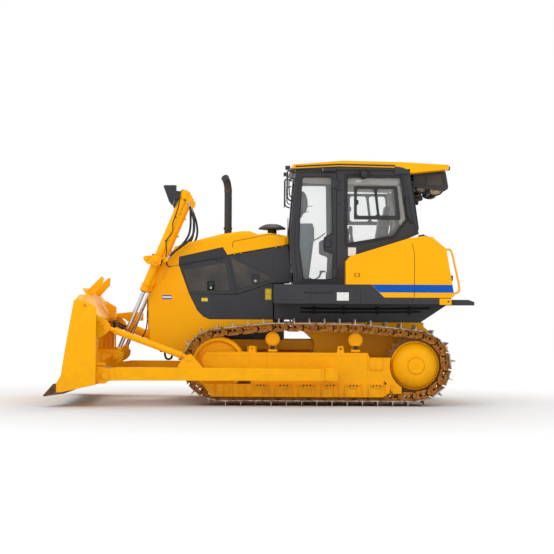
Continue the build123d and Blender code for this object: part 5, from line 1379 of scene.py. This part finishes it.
def makeBent(spec):
    frames, glassSheets, rails = [], [], []
    for side, word in sides:
        y = side * spec["mirrorY"]
        frames.append(pipe([(x, y, z) for x, z in spec["loop"]], 10, True, 12))
        frames.append(pipe([(x, y - side * 18, z) for x, z in spec["inner"]], 8, True, 12))
        face = [plate([oblong(y - 94, 2734, y + 94, 3126, 34)], 311, 321, 4, "X")]
        face += [brick((318, y - 13, z - 13), (336, y + 13, z + 13), 3) for z in (2830, 3040)]
        frames += face
        glassSheets.append(plate([oblong(y - 84, 2744, y + 84, 3116, 28)], 320.5, 321.8, 0.4, "X"))
        rails.append(pipe([(x, side * 900, z) for x, z in spec["rail"]], 14, True, 12))
    piece = gather("mirrorFrames", frames, blackPlastic)
    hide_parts("mirrors")
    gather("mirrorGlass", glassSheets, hardChrome)
    piece = gather("tankRails", rails, yellow)
    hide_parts("handrails")


makeBent(bent)

# tail, fenders and the air conditioner behind the cab
tail = {"side": 1050, "seam": [(1936, 2210), (1985, 2150), (2012, 2060), (2018, 1900), (2018, 1446)],
        "stripe": [(1446, 1612), (2524, 1612), (2541, 1508), (1550, 1508)], "latch": (1202, 1700, 1302, 1778),
        "plates": ((780, 1146, 1999, 1253, 2113), (1050, 983, 1395, 1143, 1505))}


def makeTail(spec):
    for side, word in sides:
        out = spec["side"]
        cover = [slab(side, [[(1938, 1447), (1957, 1447), (1957, 2233), (1938, 2226)]], out - 26, out + 0.6, 0.3)]
        gather("tailJoin." + word, cover, yellow)
        gather("tailSeam." + word, [pipe([(x, side * (out + 0.2 - max(0, (z - 2190) * 0.9)), z)
                                          for x, z in spec["seam"]], 3.4, False)], rubber)
        gather("blueStripe." + word, [slab(side, [spec["stripe"]], out + 0.2, out + 1.4, 0.3)], blue)
        x0, z0, x1, z1 = spec["latch"]
        latch = [slab(side, [oblong(x0, z0, x1, z1, 14), oblong(x0 + 16, z0 + 13, x1 - 16, z1 - 13, 8)], out - 1,
                      out + 6, 3),
                 slab(side, [oblong(x0 + 28, z0 + 16, x1 - 30, z1 - 16, 7)], out - 1, out + 8, 3)]
        gather("tailLatch." + word, latch, yellow)
        # the cup's floor in the shaded-gap colour: painted shade in the latch recess
        gather("tailLatchCup." + word, [slab(side, [oblong(x0 + 14, z0 + 11, x1 - 14, z1 - 11, 8)], out - 0.5,
                                             out + 1.2, 0.4)], seamShade, slot="dark_paint")
        for index, (face, xa, za, xb, zb) in enumerate(spec["plates"]):
            gather("blankPlate%d." % index + word,
                   [slab(side, [oblong(xa, za, xb, zb, 6)], face + 0.2, face + 1.6, 0.5)], white)
        # end plate of the fender with its round hole, and the plate of the step
        end = slab(side, [oblong(2353, 1346, 2512, 1430, 5), circle((2470, 1388), 13, 28)], out - 2, out + 3, 1.2)
        gather("fenderEnd." + word, [end], yellow)
        lip = [slab(side, [[(199, 1405), (598, 1405), (598, 1452), (199, 1452)]], out - 2, out + 5, 2)]
        gather("stepPlate." + word, lip, charcoal)
        seams = [sidePipe(side * (out + 0.3), [(x, 1345), (x, top)], 2.4, False)
                 for x, top in ((640, 1556), (1300, 1556), (1990, 1442))]
        seams.append(sidePipe(side * (out + 2), [(540, 1498), (930, 1498)], 6, False))
        gather("fenderSeams." + word, seams, rubber)
        places = [((x, side * out, 1520), (0, side, 0)) for x in (560, 700, 900, 1100, 1240, 1372)]
        places += [((x, side * out, 1392), (0, side, 0)) for x in (1480, 1700, 1900, 2100, 2300)]
        bolts("fenderBolts." + word, places, 17, charcoal)
        # dark bay under the deck: dark underbody deepened to near-black as painted shade under the fenders, with
        # brackets and a guarded pipe run
        bay = [slab(side, [[(432, 1104), (2188, 1104), (2150, 1109), (2505, 1345), (432, 1345)]], 540, 542.5, 1)]
        bay.append(pipe([(520, side * 560, 1290), (1250, side * 562, 1280), (2280, side * 560, 1296)], 16))
        bay.append(pipe([(520, side * 560, 1240), (1250, side * 562, 1236), (2150, side * 560, 1250)], 12))
        bay += [sideBrick(side, (x - 20, x + 20), (541, 590), (1210, 1320), 5) for x in (700, 1100, 1560, 2000)]
        gather("deckBay." + word, bay, underbodyShade)
    # filler cap, pressed panel, tail lamps and work lamps at the back
    cap = [lathe([(0, 62), (6, 66), (34, 66), (40, 60), (44, 20), (44, 0)], (2180, -560, 2250), (0.12, 0, 1), 40),
           brick((2164, -600, 2290), (2198, -520, 2304), 5)]
    gather("fillerCap", cap, mattBlack, slot="dark_paint")
    backPlate = [plate([rounded([(-760, 1560), (760, 1560), (720, 2020), (-720, 2020)], 40)], 0, 6, 3, "X")]
    lean = Matrix.Rotation(math.atan2(-106, 598), 4, "Y")
    backPlate[0].transform(Matrix.Translation((2.5375, 0, 1.552)) @ lean @ Matrix.Translation((0, 0, -1.552)))
    gather("tankPanel", backPlate, yellow)
    lights, lenses = [], []
    for y in (-820, 820):
        lights.append(brick((2512, y - 75, 1668), (2548, y + 75, 1742), 6))
        lenses.append(brick((2542, y - 66, 1676), (2552, y + 66, 1734), 4))
    gather("tailLampBoxes", lights, blackPlastic)
    gather("tailLampLenses", lenses, redLens)
    lamps = [lathe([(0, 30), (6, 50), (40, 56), (58, 56), (62, 50)], (2064, y, 2772), (1, 0, -0.15), 32)
             for y in (-470, 470)]
    lamps += [brick((2040, y - 16, 2778), (2078, y + 16, 2830), 5) for y in (-470, 470)]
    gather("rearWorkLamps", lamps, blackPlastic)
    gather("rearLampLenses",
           [lathe([(0, 48), (4, 40), (6, 0)], (2118, y, 2764), (1, 0, -0.15), 32) for y in (-470, 470)], lampLens)


def makeConditioner():
    # box under the roof's tail: screened sides, two tilted fans a side and their hoses
    shape = [(2046, 3121), (2494, 3173), (2532, 2960), (2520, 2925), (2470, 2900), (2060, 2956)]
    box = [plate([rounded(shape, 14)], -488, 488, 6)]
    screens, rims, discs = [], [], []
    for side, word in sides:
        box.append(slab(side,
                        [rounded(shape, 14), rounded([(2092, 3098), (2212, 3112), (2212, 2980), (2092, 2988)], 10),
                         rounded([(2236, 3114), (2448, 3138), (2464, 2972), (2236, 2978)], 10)], 484, 499, 4))
        screens.append(slab(side, [rounded([(2088, 3102), (2452, 3142), (2470, 2968), (2088, 2984)], 6)], 487, 491,
                            1))
        for x, z, r in ((2366, 2912, 98), (2172, 2936, 84)):
            rims.append(lathe([(0, r - 10), (6, r), (34, r + 3), (44, r), (46, r - 12), (30, r - 16)],
                              (x, side * 392, z + 26), (0.05, side * 0.62, -0.78), 36))
            discs.append(lathe([(30, r - 14), (38, r - 22), (40, 34), (52, 30), (54, 0)], (x, side * 392, z + 26),
                               (0.05, side * 0.62, -0.78), 36))
        rims.append(lathe([(0, 34), (8, 40), (64, 40), (72, 34), (72, 0)], (2226, side * 440, 2900),
                          (0.3, side * 0.4, -0.6), 28))
        rims.append(pipe([(2066, side * 440, 2990), (2070, side * 452, 2930), (2120, side * 456, 2888),
                          (2210, side * 446, 2870)], 12))
        rims += [sideBrick(side, (x - 9, x + 9), (484, 503), (z - 9, z + 9), 3)
                 for x, z in ((2120, 2972), (2330, 2962), (2500, 2964))]
    piece = gather("conditionerBox", box, charcoal)
    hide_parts("condenser")
    gather("conditionerScreens", screens, screenMesh)
    gather("fanRims", rims, blackPlastic)
    gather("fanDiscs", discs, paleFan)


makeTail(tail)
makeConditioner()
print("tail, fenders and conditioner dressed")


def makeStage():
    # pale floor, even room light, broad lamps at the front left, behind the machine and at its tail
    form = bmesh.new()
    bmesh.ops.create_grid(form, x_segments=1, y_segments=1, size=150)
    floor = linked("floor", written("floor", form))
    # seamless paper with a painted soft shadow: greyer where the machine stands, white towards the horizon
    material, tree, shader = newMaterial("paleFloor", "#FFFFFF", 0.95)
    coords = addNode(tree, "ShaderNodeTexCoord")
    reach = addNode(tree, "ShaderNodeVectorMath", wires={"Vector": (coords, "Object")})
    reach.operation = "LENGTH"
    paperWithPaintedShadow = mixed(tree, (mask(tree, reach, "Value", 3.0, 11.0), "Result"), "#D8D8D8", "#FFFFFF")
    coat(tree, shader, paperWithPaintedShadow)
    shader.inputs["Specular IOR Level"].default_value = 0.0
    floor.data.materials.append(material)
    world = bpy.data.worlds.new("softRoom")
    world.use_nodes = True
    world.node_tree.nodes["Background"].inputs["Color"].default_value = (1, 1, 1, 1)
    world.node_tree.nodes["Background"].inputs["Strength"].default_value = 1.0
    bpy.context.scene.world = world
    lamps = {"key": ((-8, -12, 11), 330, 8), "back": ((3, 7, 11), 520, 6), "rear": ((9, -9, 7), 80, 6)}
    for name, (place, power, size) in lamps.items():
        data = bpy.data.lights.new(name, "AREA")
        data.energy, data.size = power, size
        lamp = linked(name, data)
        aim = Vector((0, 0, 1.2)) - Vector(place)
        lamp.matrix_world = Matrix.Translation(place) @ aim.to_track_quat("-Z", "Y").to_matrix().to_4x4()


makeStage()
bpy.context.scene.view_settings.view_transform = "Standard"
